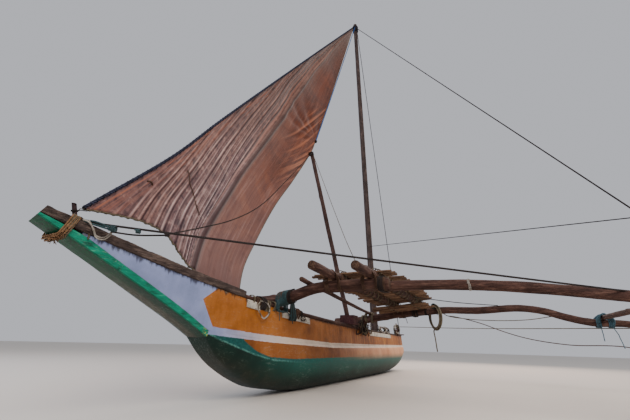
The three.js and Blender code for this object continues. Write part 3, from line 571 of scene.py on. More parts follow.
def sail_look():
    """Tanned cotton. Folds holds the fold's number and the height, Cloth the place across and up."""
    s = Shade("tanned_cloth", 0.92, 0.15, 0.25)
    folds = s.node("ShaderNodeUVMap", uv_map="Folds")
    cloth = s.node("ShaderNodeUVMap", uv_map="Cloth")
    number = s.split(folds)[0]
    u, v, _ = s.split(cloth)

    def noise_along(source, scale, detail, rough, distortion=0.0):
        return s.noise(s.place((*scale, 1), source=source), 1.0, detail, rough, distortion)
    nearest = s.math("ROUND", number)
    off = number - nearest
    strength = 0.68 + s.math("SINE", nearest * 2.4 + 0.8) * 0.32
    patchy = noise_along(folds, (0.8, 16), 4, 0.6).band(0.34, 0.58)
    pleated = number.band(0.7, 1.6) * number.band(14.7, 14.2)
    ridge_highlight = abs(off).band(0.17, 0.03) * (strength * patchy)
    groove_shade = abs(off - 0.25).band(0.15, 0.03) * strength
    blotch = s.noise(s.place(), 1.5, 6, 0.68, 0.6)
    mottle = s.noise(s.place(), 11, 5, 0.7, 0.4)
    threads = noise_along(folds, (5, 9), 6, 0.68)
    fine = noise_along(folds, (22, 14), 4, 0.62)
    panel = 0.5 + s.math("SINE", nearest * 5.1) * 0.3

    left = s.mix(panel, rgb(102, 74, 74), rgb(130, 94, 84))
    left = s.over(left, (mottle.band(0.5, 0.62) * 0.8, rgb(58, 42, 48)),
                  (mottle.band(0.46, 0.36) * 0.6, rgb(176, 144, 130)))
    right = s.ramp(blotch, (0.3, rgb(88, 54, 46)), (0.48, rgb(112, 70, 56)), (0.66, rgb(136, 84, 60)))
    right = s.over(right, (v.band(0.17, 0.02) * 0.6, rgb(132, 98, 88)),
                   (mottle.band(0.54, 0.7) * 0.35, rgb(70, 44, 40)))
    colour = s.mix(number.band(14.0, 14.5), left, right)
    streaks = 0.3 + pleated * 0.35
    # Among the thread streaks: painted highlights on the fold ridges and painted shade in their grooves.
    colour = s.over(colour, (threads.band(0.52, 0.62) * streaks, rgb(54, 36, 40)),
                    (threads.band(0.46, 0.36) * (streaks * 0.75), rgb(184, 150, 136)),
                    (fine.band(0.55, 0.7) * 0.25, rgb(178, 146, 132)),
                    (ridge_highlight * pleated * 0.92, rgb(220, 190, 176)),
                    (groove_shade * pleated * 0.85, rgb(48, 30, 34)))
    # Painted shade in the deep fold and a painted highlight on the lip beside it.
    deep = abs(number - 14.12).band(0.32, 0.08) * v.band(0.7, 0.25)
    colour = s.mix(deep * 0.82, colour, rgb(52, 32, 32))
    lip_highlight = abs(number - 13.62).band(0.22, 0.06) * v.band(0.75, 0.5)
    colour = s.mix(lip_highlight * 0.75, colour, rgb(190, 150, 134))

    luff = u.band(0.15, 0.05) * v.band(0.55, 0.3)
    run = noise_along(cloth, (46, 5), 5, 0.66, 0.3)
    colour = s.over(colour, (luff * run.band(0.47, 0.6), rgb(158, 100, 76)),
                    (luff * run.band(0.44, 0.34), rgb(54, 32, 32)))
    slope = v - u * 0.5
    leech = u.band(0.7, 0.86) * (v.band(0.2, 0.3) * v.band(0.5, 0.46))
    crossing = s.noise(s.node("ShaderNodeCombineXYZ", {0: slope * 58.0, 1: u * 4.0}), 1.0, 4, 0.6)
    colour = s.over(colour, (leech * (crossing.band(0.5, 0.6) * 0.8), rgb(192, 136, 104)),
                    (leech * (crossing.band(0.44, 0.34) * 0.85), rgb(62, 40, 36)))
    # A painted highlight on the fold along the seam line and painted shade just below it.
    fold = slope - 0.0146
    reach = u.band(0.6, 0.78) * u.band(1.0, 0.97)
    colour = s.over(colour, (reach * abs(fold).band(0.01, 0.003), rgb(190, 140, 114)),
                    (reach * (abs(fold + 0.015).band(0.012, 0.003) * 0.6), rgb(70, 42, 36)))
    colour = s.mix(v.band(0.62, 0.9) * 0.45, colour, rgb(122, 84, 60))
    # The cloth is made darker upwards, bluer low down away from the luff, and darker over a smooth part
    # towards the leech.
    darker_upwards = s.ramp(v, (0.16, (1.0, 0.97, 1.04, 1)), (0.27, (0.74, 0.65, 0.66, 1)),
                  (0.42, (0.56, 0.43, 0.4, 1)), (0.85, (0.38, 0.28, 0.23, 1)))
    worn = v.band(0.24, 0.1) * u.band(0.25, 0.42)
    darker_upwards = s.mix(worn, darker_upwards, (0.96, 1.04, 1.22, 1))
    smooth_part = u.band(0.6, 0.74) * u.band(0.94, 0.84) * (v.band(0.16, 0.26) * v.band(0.8, 0.62))
    darker_upwards = s.mix(smooth_part, darker_upwards, (0.62, 0.45, 0.38, 1))
    uneven = s.ramp(s.noise(s.place(), 1.1, 3, 0.5), (0.3, (0.86, 0.84, 0.85, 1)), (0.7, (1, 1, 1, 1)))
    colour = s.tint(s.tint(colour, darker_upwards), uneven)
    weave = s.node("ShaderNodeTexWave", {"Vector": s.place(), "Scale": 160.0, "Distortion": 1.0}, out=1)
    height = threads * 0.8 + weave * 0.08
    return s.finish(colour, height, 0.35, 0.008)


POLE_TONES = (rgb(32, 21, 19), rgb(70, 47, 41), rgb(122, 94, 82))
MAST_TONES = (rgb(28, 24, 25), rgb(66, 55, 53), rgb(106, 90, 84))
SPAR_TONES = (rgb(36, 25, 25), rgb(68, 50, 47), rgb(108, 84, 77))
RAIL_TONES = (rgb(26, 21, 22), rgb(68, 57, 54), rgb(132, 116, 106))
SLAT_TONES = (rgb(42, 30, 24), rgb(104, 78, 60), rgb(164, 134, 104))
RED_TONES = (rgb(34, 18, 22), rgb(66, 36, 38), rgb(104, 66, 62))
PEG_TONES = (rgb(26, 18, 22), rgb(58, 42, 46), rgb(96, 76, 78))
INSIDE_TONES = (rgb(50, 38, 32), rgb(92, 72, 58), rgb(132, 110, 90))
WOOD = {axis: wood(f"pole_wood_{axis}", axis, *POLE_TONES, deep=0.006) for axis in "XY"}
MAST_WOOD = wood("mast_wood", "Z", *MAST_TONES)
SPAR_WOOD = wood("spar_wood", "Z", *SPAR_TONES)
RAIL_WOOD = wood("rail_wood", "X", *RAIL_TONES, worn=0.9, deep=0.010)
SLAT_WOOD = wood("slat_wood", "Y", *SLAT_TONES, worn=0.8)
RED_WOOD = wood("block_wood", "X", *RED_TONES)
PEG_WOOD = wood("peg_wood", "Z", *PEG_TONES)
INSIDE_WOOD = wood("inside_wood", "X", *INSIDE_TONES)
BOARD_WOOD = wood("board_wood", "Y", *INSIDE_TONES)
END_WOOD = end_grain("end_wood", rgb(36, 25, 22), rgb(98, 74, 60))
LOG_PAINT, PLANK_PAINT, BEAM_PAINT = (painted(f"{kind}_paint", kind) for kind in ("log", "plank", "beam"))
BOARD_PAINT = flaked("board_paint", rgb(196, 190, 178), rgb(96, 76, 62), 0.60)
COIR = rope_look("coir", rgb(40, 25, 18), rgb(120, 80, 50), rgb(208, 168, 128), fuzz=0.9)
BROWN_ROPE = rope_look("brown_rope", rgb(22, 15, 13), rgb(66, 46, 37), rgb(118, 92, 76))
OLD_ROPE = rope_look("old_rope", rgb(28, 25, 21), rgb(86, 77, 62), rgb(150, 138, 116))
DARK_ROPE = rope_look("dark_rope", rgb(10, 9, 10), rgb(34, 30, 30), rgb(70, 62, 60))
PALE_ROPE = rope_look("pale_rope", rgb(84, 80, 76), rgb(160, 154, 146), rgb(214, 208, 198))
TEAL_ROPE = rope_look("teal_rope", rgb(8, 20, 26), rgb(22, 52, 60), rgb(72, 106, 110), sheen=0.1)
SEA_ROPE = rope_look("sea_rope", rgb(6, 22, 30), rgb(24, 58, 76), rgb(98, 142, 158), sheen=0.1)
BLUE_ROPE = rope_look("blue_rope", rgb(10, 30, 70), rgb(30, 74, 150), rgb(80, 130, 200))
NAVY_ROPE = rope_look("navy_rope", rgb(8, 9, 16), rgb(26, 29, 46), rgb(64, 68, 92))
SAIL_CLOTH = sail_look()


# Hull: the same driving rows as its solids
HULL = smooth_table([
    # x, keel height, keel half, bulge half, bulge height, top half, top height
    (-4.250, 0.290, 0.045, 0.198, 0.450, 0.182, 0.532), (-3.950, 0.165, 0.060, 0.226, 0.405, 0.199, 0.531),
    (-3.500, 0.080, 0.070, 0.252, 0.368, 0.213, 0.530), (-2.800, 0.022, 0.078, 0.278, 0.335, 0.228, 0.528),
    (-1.800, 0.000, 0.080, 0.296, 0.312, 0.238, 0.524), (-0.650, 0.000, 0.080, 0.304, 0.302, 0.241, 0.521),
    (0.400, 0.000, 0.080, 0.304, 0.302, 0.242, 0.524), (0.900, 0.000, 0.080, 0.300, 0.306, 0.238, 0.529),
    (1.400, 0.024, 0.078, 0.290, 0.325, 0.233, 0.536), (1.900, 0.086, 0.068, 0.264, 0.354, 0.222, 0.549),
    (2.200, 0.180, 0.060, 0.234, 0.411, 0.206, 0.563), (2.450, 0.300, 0.080, 0.205, 0.477, 0.184, 0.580),
    (2.620, 0.410, 0.095, 0.155, 0.532, 0.162, 0.594), (2.765, 0.548, 0.105, 0.131, 0.580, 0.136, 0.607)])
BEAM = smooth_table([
    # x, bottom height, top height, bottom half, top half
    (2.765, 0.551, 0.607, 0.126, 0.136), (3.000, 0.664, 0.723, 0.123, 0.132),
    (3.300, 0.794, 0.854, 0.118, 0.127), (3.730, 0.976, 1.035, 0.103, 0.111),
    (3.960, 1.070, 1.131, 0.093, 0.099), (4.240, 1.185, 1.203, 0.082, 0.084)])
SHEER = smooth_table([
    # x, half, height
    (-4.220, 0.160, 0.795), (-3.500, 0.186, 0.793), (-2.800, 0.205, 0.792), (-1.800, 0.213, 0.793),
    (-0.650, 0.217, 0.797), (0.400, 0.211, 0.822), (1.400, 0.201, 0.862), (1.900, 0.192, 0.897),
    (2.400, 0.178, 0.938), (2.860, 0.164, 0.986), (3.150, 0.150, 1.020), (3.500, 0.130, 1.072),
    (3.960, 0.100, 1.146)])
HULL_WALL, PLANK_THICK, PLANK_INSET = 0.045, 0.025, 0.004
STERN_X, LOG_BOW_X, PLANK_BOW_X, TIP_X = -4.250, 2.765, 3.960, 4.240
PLANK_STERN_X = STERN_X + 0.030
CAVITY_FROM_X, CAVITY_TO_X = STERN_X + HULL_WALL + 0.025, 2.600
RAIL_STEP_X = 2.365
BILGE_SHARES = [i / 12 for i in range(12)] + [0.975, 1.0]
SHOULDER_SHARES = [0.03, 0.15, 0.35, 0.55, 0.75, 0.9, 1.0]
CREASE_FROM_X, CREASE_FULL_X = 0.5, 1.7
SIDES = (("outrigger_side", 1), ("lee_side", -1))
HULL_RINGS, PLANK_RINGS, BEAM_RINGS, BOW_RAIL_RINGS, FLOAT_RINGS = 110, 130, 90, 100, 120
HEWN_OUTSIDE, HEWN_INSIDE = 0.0035, 0.0055
CROWN, RIPPLE, PLANK_EDGE = 0.004, 0.0025, 0.003


def clamped(t):
    return min(max(t, 0.0), 1.0)


def smooth_step(t):
    t = clamped(t)
    return t * t * (3 - 2 * t)


def hull_side(x, inset):
    """Outline of one side of the lower hull, keel to top."""
    keel_z, keel_half, bulge_half, bulge_z, top_half, top_z = HULL(x)
    keel_z += inset
    keel_half = max(keel_half - inset * 0.4, 0.012)
    bulge_half, top_half = bulge_half - inset, top_half - inset
    bulge_z = max(bulge_z, keel_z + 0.02)
    side = []
    for share in BILGE_SHARES:
        a = share * math.pi / 2
        side.append((x, keel_half + (bulge_half - keel_half) * math.sin(a),
                     bulge_z - (bulge_z - keel_z) * math.cos(a)))
    flat = smooth_step((x - CREASE_FROM_X) / (CREASE_FULL_X - CREASE_FROM_X))
    for share in SHOULDER_SHARES:
        a = share * math.pi / 2
        inward, upward = 1 - math.cos(a), math.sin(a)
        inward, upward = inward + (share - inward) * flat, upward + (share - upward) * flat
        side.append((x, bulge_half - (bulge_half - top_half) * inward, bulge_z + (top_z - bulge_z) * upward))
    return side


def hewn(p, amount):
    """A hand-hewn surface: long hollows and shorter adze marks."""
    x, y, z = p
    out = amount * (wobble((x * 0.5, y, z), 2.3, 3.0) + 0.45 * wobble((x * 0.6, y, z), 8.0, 5.0))
    spread = max(math.hypot(y, z - 0.6), 0.05)
    return x, y + out * y / spread, max(z + out * (z - 0.6) / spread, 0.0)


def make_hull():
    """Outer skin, hollow, the lips between them, and the solid ends' tops."""
    built = Builder()
    stations = sorted(set(list(np.linspace(STERN_X, LOG_BOW_X, HULL_RINGS)) + [CAVITY_FROM_X, CAVITY_TO_X]))

    def ring(x, inset, amount):
        side = hull_side(x, inset)
        both = [(px, -py, pz) for px, py, pz in reversed(side)] + side
        return [hewn(p, amount) for p in both]
    outer = [ring(x, 0.0, HEWN_OUTSIDE) for x in stations]
    inside = [x for x in stations if CAVITY_FROM_X <= x <= CAVITY_TO_X]
    inner = [ring(x, HULL_WALL, HEWN_INSIDE) for x in inside]
    built.rings(outer, closed=False)
    built.rings(inner, closed=False, slot=1, flip=True)

    def strip(pairs, flip):
        built.rings(pairs, closed=False, caps=(False, False), slot=1, flip=flip)
    beside = [o for x, o in zip(stations, outer) if x in inside]
    for end in (-1, 0):
        strip([[a[end], b[end]] for a, b in zip(beside, inner)], end == -1)
    strip([[o[-1], o[0]] for x, o in zip(stations, outer) if x <= CAVITY_FROM_X], True)
    strip([[o[-1], o[0]] for x, o in zip(stations, outer) if x >= CAVITY_TO_X], True)
    made = built.object("hull_skin", [LOG_PAINT, INSIDE_WOOD])
    made.data.set_sharp_from_angle(angle=SHARP_ANGLE)
    stand_for(made, "green_paint", "hull_log")


def low_half(x):
    return (HULL(x)[4] if x <= LOG_BOW_X else BEAM(x)[3]) - PLANK_INSET


def low_z(x):
    return HULL(x)[5] if x <= LOG_BOW_X else BEAM(x)[1]


def make_planks():
    """Washstrakes: crowned, rippled boards with slightly rounded top edges."""
    steps = 7
    for name, side in SIDES:
        rings = []
        for x in np.linspace(PLANK_STERN_X, PLANK_BOW_X, PLANK_RINGS):
            half, top = SHEER(x)
            low = low_z(x)
            outer, inner = [], []
            for i in range(steps + 1):
                v = i / steps
                y = low_half(x) * (1 - v) + half * v
                crown = CROWN * math.sin(math.pi * v) * min(1, (PLANK_BOW_X - x) * 4)
                ripple = RIPPLE * wobble((x, side * 0.3, v * 0.3), 2.6, 9.0)
                z = low * (1 - v) + top * v
                edge = PLANK_EDGE if i == steps else 0
                outer.append((x, side * (y + crown + ripple - edge), z))
                inner.append((x, side * (y - PLANK_THICK + ripple + edge), z))
            rings.append(outer + inner[::-1])
        built = Builder().rings(rings, flip=side < 0)
        for f, face in enumerate(built.faces):
            if len(face) == 4 and steps < f % (2 * steps + 2) <= 2 * steps:
                built.slots[f] = 1
        made = built.object(f"washstrake_skin_{name}", [PLANK_PAINT, INSIDE_WOOD])
        made.data.set_sharp_from_angle(angle=SHARP_ANGLE)
        stand_for(made, "ochre_paint", f"washstrake_{name}")


RAKE_FROM_X = 4.02
# The plane that cuts the prow off aslant: x is (CUT_AT + CUT_Y y + CUT_Z z) / CUT_X
CUT_X, CUT_AT, CUT_Y, CUT_Z = 0.879, 4.2085, 0.1965, -0.4345


def raked(section_at, x):
    """Section at x, drawn back near the tip so that the last one lies on the prow's cut."""
    ring = []
    for j, p in enumerate(section_at(x)):
        at = x
        for _ in range(4 if x > RAKE_FROM_X else 0):
            y, z = p
            end = (CUT_AT + CUT_Y * y + CUT_Z * z) / CUT_X
            at = RAKE_FROM_X + (x - RAKE_FROM_X) * (end - RAKE_FROM_X) / (TIP_X - RAKE_FROM_X)
            p = section_at(at)[j]
        ring.append((at, *p))
    return ring


def beam_section(x):
    bottom, top, bottom_half, top_half = BEAM(x)
    tall = top - bottom
    edge = min(0.3 * tall, 0.009)
    lean = top_half - bottom_half
    near = [(bottom_half - 3 * edge, bottom), (bottom_half - edge, bottom + 0.2 * edge),
            (bottom_half, bottom + edge), (bottom_half + lean * 0.5, bottom + 0.5 * tall),
            (top_half, top - 0.003), (top_half - 0.004, top)]
    section = [(0.0, bottom - 0.003), *near, *[(-y, z) for y, z in near[::-1]]]
    out = []
    for y, z in section:
        worn = 0.0025 * wobble((x, y, z), 5.0, 2.0) + 0.0012 * wobble((x, y, z), 26.0, 4.0)
        out.append((y + math.copysign(worn, y), z + worn * 0.5))
    return out


def make_beam():
    """Prow timber: upright painted sides, chipped lower edges and a slightly crowned bottom."""
    rings = [raked(beam_section, x) for x in np.linspace(LOG_BOW_X + 0.001, TIP_X, BEAM_RINGS)]
    made = Builder().rings(rings, flip=True).object("prow_beam_skin", [BEAM_PAINT], smooth=False)
    stand_for(made, "green_paint", "prow_beam")


RAIL_HEIGHTS = smooth_table([(2.400, 0.072), (3.500, 0.068), (4.240, 0.058)])
RAIL_WIDTH, RAIL_PROUD, RAIL_DRAWN_IN, RAIL_POINTS = 0.050, 0.012, 0.032, 20


def past_planks(x):
    """0 at the planks' front end, 1 at the tip of the prow."""
    return clamped((x - PLANK_BOW_X) / (TIP_X - PLANK_BOW_X))


def rail_bottom(x):
    t = past_planks(x)
    return SHEER(min(x, PLANK_BOW_X))[1] * (1 - t) + BEAM(TIP_X)[1] * t


def rail_outer(x):
    return SHEER(min(x, PLANK_BOW_X))[0] + RAIL_PROUD - past_planks(x) * RAIL_DRAWN_IN


def squared(value, power):
    """A sine or cosine pushed outwards, which squares off the ring that it draws."""
    return math.copysign(abs(value) ** power, value)


def round_turn(count):
    """Cosine and sine of evenly spaced angles."""
    return [(math.cos(a), math.sin(a)) for a in (k / count * 2 * math.pi for k in range(count))]


def rail_section(side):
    def section_at(x):
        tall = RAIL_HEIGHTS(x)[0]
        middle = side * (rail_outer(x) - RAIL_WIDTH / 2)
        ring = []
        for c, s in round_turn(RAIL_POINTS):
            y, z = RAIL_WIDTH / 2 * squared(c, 0.36), tall / 2 * squared(s, 0.30)
            p = (x, middle + y, rail_bottom(x) + tall / 2 + z)
            chew = 0.0035 * wobble(p, 7, 1) + 0.0030 * wobble(p, 26, 6) + 0.0016 * wobble(p, 75, 8)
            corner = max(0, abs(c * s) * 2 - 0.6)
            bite = corner * 0.012 * max(0, wobble(p, 12, 14))
            ring.append((p[1] + (chew - bite) * c, max(p[2] + (chew - bite) * s, rail_bottom(x))))
        return ring
    return section_at


def make_rails():
    """Squared bow rails with chewed edges and a worn top."""
    for name, side in SIDES:
        rings = [raked(rail_section(side), x) for x in np.linspace(RAIL_STEP_X, TIP_X, BOW_RAIL_RINGS)]
        made = Builder().rings(rings, cap_slot=1).object(f"bow_rail_skin_{name}", [RAIL_WOOD, END_WOOD])
        stand_for(made, "raw_wood", f"bow_rail_{name}")


def dressed(node, material, slot_name, bevel=0.004, rough=0.0015, cell=0.05):
    """A board or block over its solid: rounded edges and an uneven, worn surface."""
    mesh = bmesh.new()
    mesh.from_mesh(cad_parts[node].data)
    bmesh.ops.remove_doubles(mesh, verts=mesh.verts, dist=1e-5)
    bmesh.ops.dissolve_limit(mesh, angle_limit=math.radians(2), verts=mesh.verts, edges=mesh.edges)
    sharp = [e for e in mesh.edges if len(e.link_faces) == 2 and e.calc_face_angle(0) > SHARP_ANGLE]
    bmesh.ops.bevel(mesh, geom=sharp, offset=bevel, segments=2, profile=0.6, affect="EDGES",
                    clamp_overlap=True)
    for _ in range(5):
        if all(e.calc_length() <= cell for e in mesh.edges):
            break
        bmesh.ops.triangulate(mesh, faces=[f for f in mesh.faces if len(f.verts) > 4])
        long = [e for e in mesh.edges if e.calc_length() > cell]
        bmesh.ops.subdivide_edges(mesh, edges=long, cuts=1)
    bmesh.ops.triangulate(mesh, faces=mesh.faces[:])
    mesh.normal_update()
    for v in mesh.verts:
        lift = rough * (wobble(v.co, 9, 3) + 0.6 * wobble(v.co, 31, 7))
        v.co += v.normal * (lift - rough)
    data = bpy.data.meshes.new(f"worn_{node}")
    mesh.to_mesh(data)
    mesh.free()
    data.materials.clear()
    data.materials.append(material)
    data.polygons.foreach_set("use_smooth", [True] * len(data.polygons))
    data.set_sharp_from_angle(angle=math.radians(40))
    made = linked(f"worn_{node}", data)
    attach(made, "hull")
    return stand_for(made, slot_name, node)


make_hull()
make_planks()
make_beam()
make_rails()
for side_name, _ in SIDES:
    dressed(f"aft_cap_{side_name}", RAIL_WOOD, "raw_wood", bevel=0.006, rough=0.002)
dressed("prow_deck", RAIL_WOOD, "raw_wood")
dressed("stern_board", PLANK_PAINT, "ochre_paint")
for i in range(1, 5):
    dressed(f"thwart_{i}", BOARD_WOOD, "raw_wood", bevel=0.005)
    dressed(f"cleat_board_{i}", BOARD_PAINT, "white_paint", bevel=0.003, rough=0.001)
dressed("mast_step", INSIDE_WOOD, "raw_wood", bevel=0.006)
dressed("boom_bearer", BOARD_WOOD, "raw_wood", bevel=0.008, rough=0.003)
dressed("spar_block", RED_WOOD, "raw_wood", bevel=0.010, rough=0.003)
peg = dressed("prow_peg", PEG_WOOD, "pole_wood", bevel=0.003, rough=0.0015, cell=0.02)
PEG_LEAN, PEG_FOOT_Z = 0.35, 1.20
for vertex in peg.data.vertices:
    vertex.co.x += PEG_LEAN * max(vertex.co.z - PEG_FOOT_Z, 0)


# Poles, booms and logs
NEAR_BOOM_X, FAR_BOOM_X = 1.780, -0.970
NEAR_OUTER_X, FAR_OUTER_X = NEAR_BOOM_X - 0.1145, FAR_BOOM_X - 0.1225
FLOAT_Y, FLOAT_RADIUS, BRACE_Y = 4.780, 0.165, 3.750
LOG_RADIUS, LOG_1_Y, LOG_2_Y = 0.046, 0.905, 1.310
BRACE_RADIUS, THIN_POLE_RADIUS, POLE_BITE, RAIL_INSET = 0.034, 0.026, 0.003, 0.012
BOOMS = {  # node: x, radius at its inner and outer end, (y, height) along it
    "near_boom_inner": (NEAR_BOOM_X, 0.060, 0.058, [
        (-0.300, 0.984), (0, 0.982), (0.230, 0.994), (0.420, 1.032), (0.640, 1.092), (0.820, 1.112),
        (1.120, 1.110), (1.500, 1.102)]),
    "near_boom_outer": (NEAR_OUTER_X, 0.054, 0.040, [
        (0.800, 1.112), (1.430, 1.102), (1.900, 1.090), (2.300, 1.064), (2.750, 1.015), (3.320, 0.922),
        (3.750, 0.840), (4.200, 0.705), (4.500, 0.540), (4.680, 0.420), (4.820, 0.374), (5.010, 0.378)]),
    "far_boom_inner": (FAR_BOOM_X, 0.064, 0.060, [
        (-0.290, 0.945), (0, 0.948), (0.240, 0.962), (0.540, 1.004), (0.900, 1.058), (1.300, 1.100),
        (1.420, 1.110)]),
    "far_boom_outer": (FAR_OUTER_X, 0.060, 0.041, [
        (0.880, 1.054), (1.300, 1.100), (1.700, 1.120), (2.200, 1.108), (2.760, 1.130), (3.080, 1.076),
        (3.310, 0.994), (3.650, 0.905), (4.010, 0.885), (4.340, 0.790), (4.580, 0.590), (4.720, 0.430),
        (4.840, 0.376), (5.020, 0.380)])}


def boom_x(node):
    return BOOMS[node][0]


def boom_at(node, y):
    """Centre height and radius of a boom at y."""
    _, start, end, rows = BOOMS[node]
    ys, heights = zip(*rows)
    return float(np.interp(y, ys, heights)), start + (end - start) * ((y - ys[0]) / (ys[-1] - ys[0]))


def branch(name, points, start, end, material, node, seed, rough=0.05, knots=5, bend=0.003):
    """A trimmed branch: it swells, bends a little, and carries knots and sawn, rounded ends."""
    sides, spacing = 18, 0.028
    line = through(points, spacing)
    draw = random.Random(seed)
    _, side, up = frames_along(line)
    n = len(line)
    for i, p in enumerate(line):
        ease = min(i, n - 1 - i, 6) / 6
        line[i] = p + bend * ease * (side[i] * wobble(p, 2.2, seed) + up[i] * wobble(p, 2.0, seed + 5))
    spots = [(draw.uniform(0.04, 0.96) * n, draw.uniform(0, 2 * math.pi), draw.uniform(0.10, 0.26))
             for _ in range(knots)]

    def shape(i, a):
        p = line[i]
        out = 1 + rough * (wobble(p, 3.4, seed) + 0.5 * wobble(p, 9.5, seed + 2))
        out += 0.35 * rough * math.sin(3 * a + 4 * wobble(p, 1.5, seed))
        out += 0.3 * rough * math.sin(7 * a + i * 0.05)
        for at, angle, size in spots:
            round_it = (a - angle + math.pi) % (2 * math.pi) - math.pi
            away = ((i - at) * spacing / 0.045) ** 2 + (round_it / 0.55) ** 2
            if away < 6:
                out += size * math.exp(-away)
        return out * (0.90 if i in (0, n - 1) else 0.98 if i in (1, n - 2) else 1.0)
    marks = lengths_along(line)
    line[1] = line[0] + (line[1] - line[0]) * 0.2
    line[-2] = line[-1] + (line[-2] - line[-1]) * 0.2
    rings = tube_rings(line, np.linspace(start, end, n), sides, shape)
    built = Builder().rings(rings, uv=lambda i, j: (marks[i], j / sides), cap_slot=1)
    stand_for(built.object(name, [material, END_WOOD]), "pole_wood", node)


for number, (node, (x, start, end, rows)) in enumerate(BOOMS.items()):
    line = [(x, *row) for row in rows]
    branch(f"{node}_branch", line, start, end, WOOD["Y"], node, 31 + number, 0.075, 9, 0.006)


def laid_over(near_y, far_y, radius, near_boom, far_boom):
    """Middle line, read by x, of a pole laid over a near and a far boom, as its solid is."""
    near_x, far_x = boom_x(near_boom), boom_x(far_boom)
    near_z, far_z = (sum(boom_at(boom, y)) + radius - POLE_BITE
                     for boom, y in ((near_boom, near_y), (far_boom, far_y)))

    def at(x):
        t = (x - near_x) / (far_x - near_x)
        return x, near_y + (far_y - near_y) * t, near_z + (far_z - near_z) * t
    return at


LONG_POLES = {  # node: near y, far y, radius, near boom, far boom, front x, aft x
    "brace_pole": (BRACE_Y, BRACE_Y, BRACE_RADIUS, "near_boom_outer", "far_boom_outer", 2.080, -1.420),
    "platform_log_1": (LOG_1_Y, 0.925, LOG_RADIUS, "near_boom_inner", "far_boom_inner", 2.330, -1.330),
    "platform_log_2": (LOG_2_Y, LOG_2_Y, LOG_RADIUS, "near_boom_inner", "far_boom_inner", 2.240, -1.330),
    "platform_pole": (0.588, 0.392, THIN_POLE_RADIUS, "near_boom_inner", "far_boom_inner", 1.990, -1.230)}
LAID = {node: laid_over(*row[:-2]) for node, row in LONG_POLES.items()}
for number, (node, (*_, front, aft)) in enumerate(LONG_POLES.items()):
    line, radius = [LAID[node](x) for x in (front, (front + aft) / 2, aft)], LONG_POLES[node][2]
    branch(f"{node}_branch", line, radius, radius * 0.92, WOOD["X"], node, 51 + number, 0.06, 5, 0.004)


def rail_line(side):
    """Middle of a pole rail, whose solid has eight sides."""
    rows = [(-1.200, 0.030), (-0.650, 0.030), (0.400, 0.030), (0.900, 0.030), (1.400, 0.027), (1.900, 0.0232),
            (RAIL_STEP_X - 0.006, 0.020)]
    return [(x, side * (SHEER(x)[0] - RAIL_INSET), SHEER(x)[1] + radius * math.cos(math.pi / 8))
            for x, radius in rows]


for side_name, side in SIDES:
    branch(f"pole_rail_branch_{side_name}", rail_line(side), 0.030, 0.0205, WOOD["X"],
           f"pole_rail_{side_name}", 71 + side, bend=0.002)

FLOAT_ROWS = [  # x, radius, height of the lowest point
    (-2.330, 0.042, 0.175), (-2.150, 0.092, 0.095), (-1.800, 0.135, 0.034), (-1.250, FLOAT_RADIUS, 0),
    (1.900, FLOAT_RADIUS, 0), (2.450, 0.135, 0.034), (2.800, 0.092, 0.095), (2.980, 0.042, 0.175)]


def make_float():
    """Solid log with tapered, lifted ends. Its solid has sixteen sides."""
    table = smooth_table(FLOAT_ROWS)
    rings = []
    sides = 28
    apothem = math.cos(math.pi / 16)
    for x in np.linspace(FLOAT_ROWS[0][0], FLOAT_ROWS[-1][0], FLOAT_RINGS):
        radius, lift = table(x)
        ring = []
        for k in range(sides):
            a = (k + 0.5) / sides * 2 * math.pi
            y, z = FLOAT_Y + radius * math.sin(a), lift + radius * apothem + radius * math.cos(a)
            out = 0.006 * wobble((x * 0.4, y, z), 3, 12) + 0.003 * wobble((x * 0.5, y, z), 13, 2) - 0.003
            ring.append((x, y + out * math.sin(a), max(z + out * math.cos(a), lift)))
        rings.append(ring)
    made = Builder().rings(rings, cap_slot=1).object("float_log", [RAIL_WOOD, END_WOOD])
    stand_for(made, "raw_wood", "float")


make_float()

# Mast and spar
MAST_FOOT, MAST_HEAD = np.array([-2.378, 0.045, 0.135]), np.array([-1.307, 0.150, 9.040])
MAST_LENGTH = float(np.linalg.norm(MAST_HEAD - MAST_FOOT))
MAST_AXIS = unit(MAST_HEAD - MAST_FOOT)
MAST_RADII = smooth_table([(-0.040, 0.002), (-0.035, 0.020), (-0.020, 0.0346), (0, 0.040), (0.030, 0.042),
                           (0.110, 0.070), (0.300, 0.078), (1.000, 0.076), (2.600, 0.066), (5.200, 0.060),
                           (MAST_LENGTH - 0.040, 0.050), (MAST_LENGTH, 0.050)])
SPAR_FOOT, SPAR_TIP = np.array([-0.405, 0.172, 0.985]), np.array([0.840, 0.0442, 3.560])


def mast_point(height):
    return MAST_FOOT + MAST_AXIS * height


def make_mast():
    foot_rings = 22
    heights = np.concatenate([np.linspace(-0.040, 0.30, foot_rings),
                              np.linspace(0.34, MAST_LENGTH - 0.006, 210), [MAST_LENGTH]])
    line = np.array([mast_point(h) for h in heights])
    radii = np.array([MAST_RADII(h)[0] for h in heights])
    radii[-1] *= 0.85

    def shape(i, a):
        p = line[i]
        rough = 0.0 if i < foot_rings else 0.035
        bumps = rough * (wobble(p, 1.7, 4) + 0.5 * wobble(p, 6, 8))
        return 0.985 + bumps + 0.3 * rough * math.sin(5 * a + p[2])
    built = Builder().rings(tube_rings(line, radii, 18, shape), cap_slot=1)
    stand_for(built.object("mast_pole", [MAST_WOOD, END_WOOD], "mast"), "pole_wood", "mast")


make_mast()
spar_line = [SPAR_FOOT, SPAR_FOOT * 0.5 + SPAR_TIP * 0.5, SPAR_TIP]
branch("spar_pole", spar_line, 0.039, 0.031, SPAR_WOOD, "spar", 91, bend=0.006)


# Platform battens over each slat's solid, and the lacing that holds them to the logs
BATTENS, BATTEN_POINTS, BATTEN_HALF_THICK, BATTEN_MIDDLE_Y = 4, 12, 0.0130, 1.0
LOG_SPACING, SLOPE_FROM_Y = 0.395, 0.91


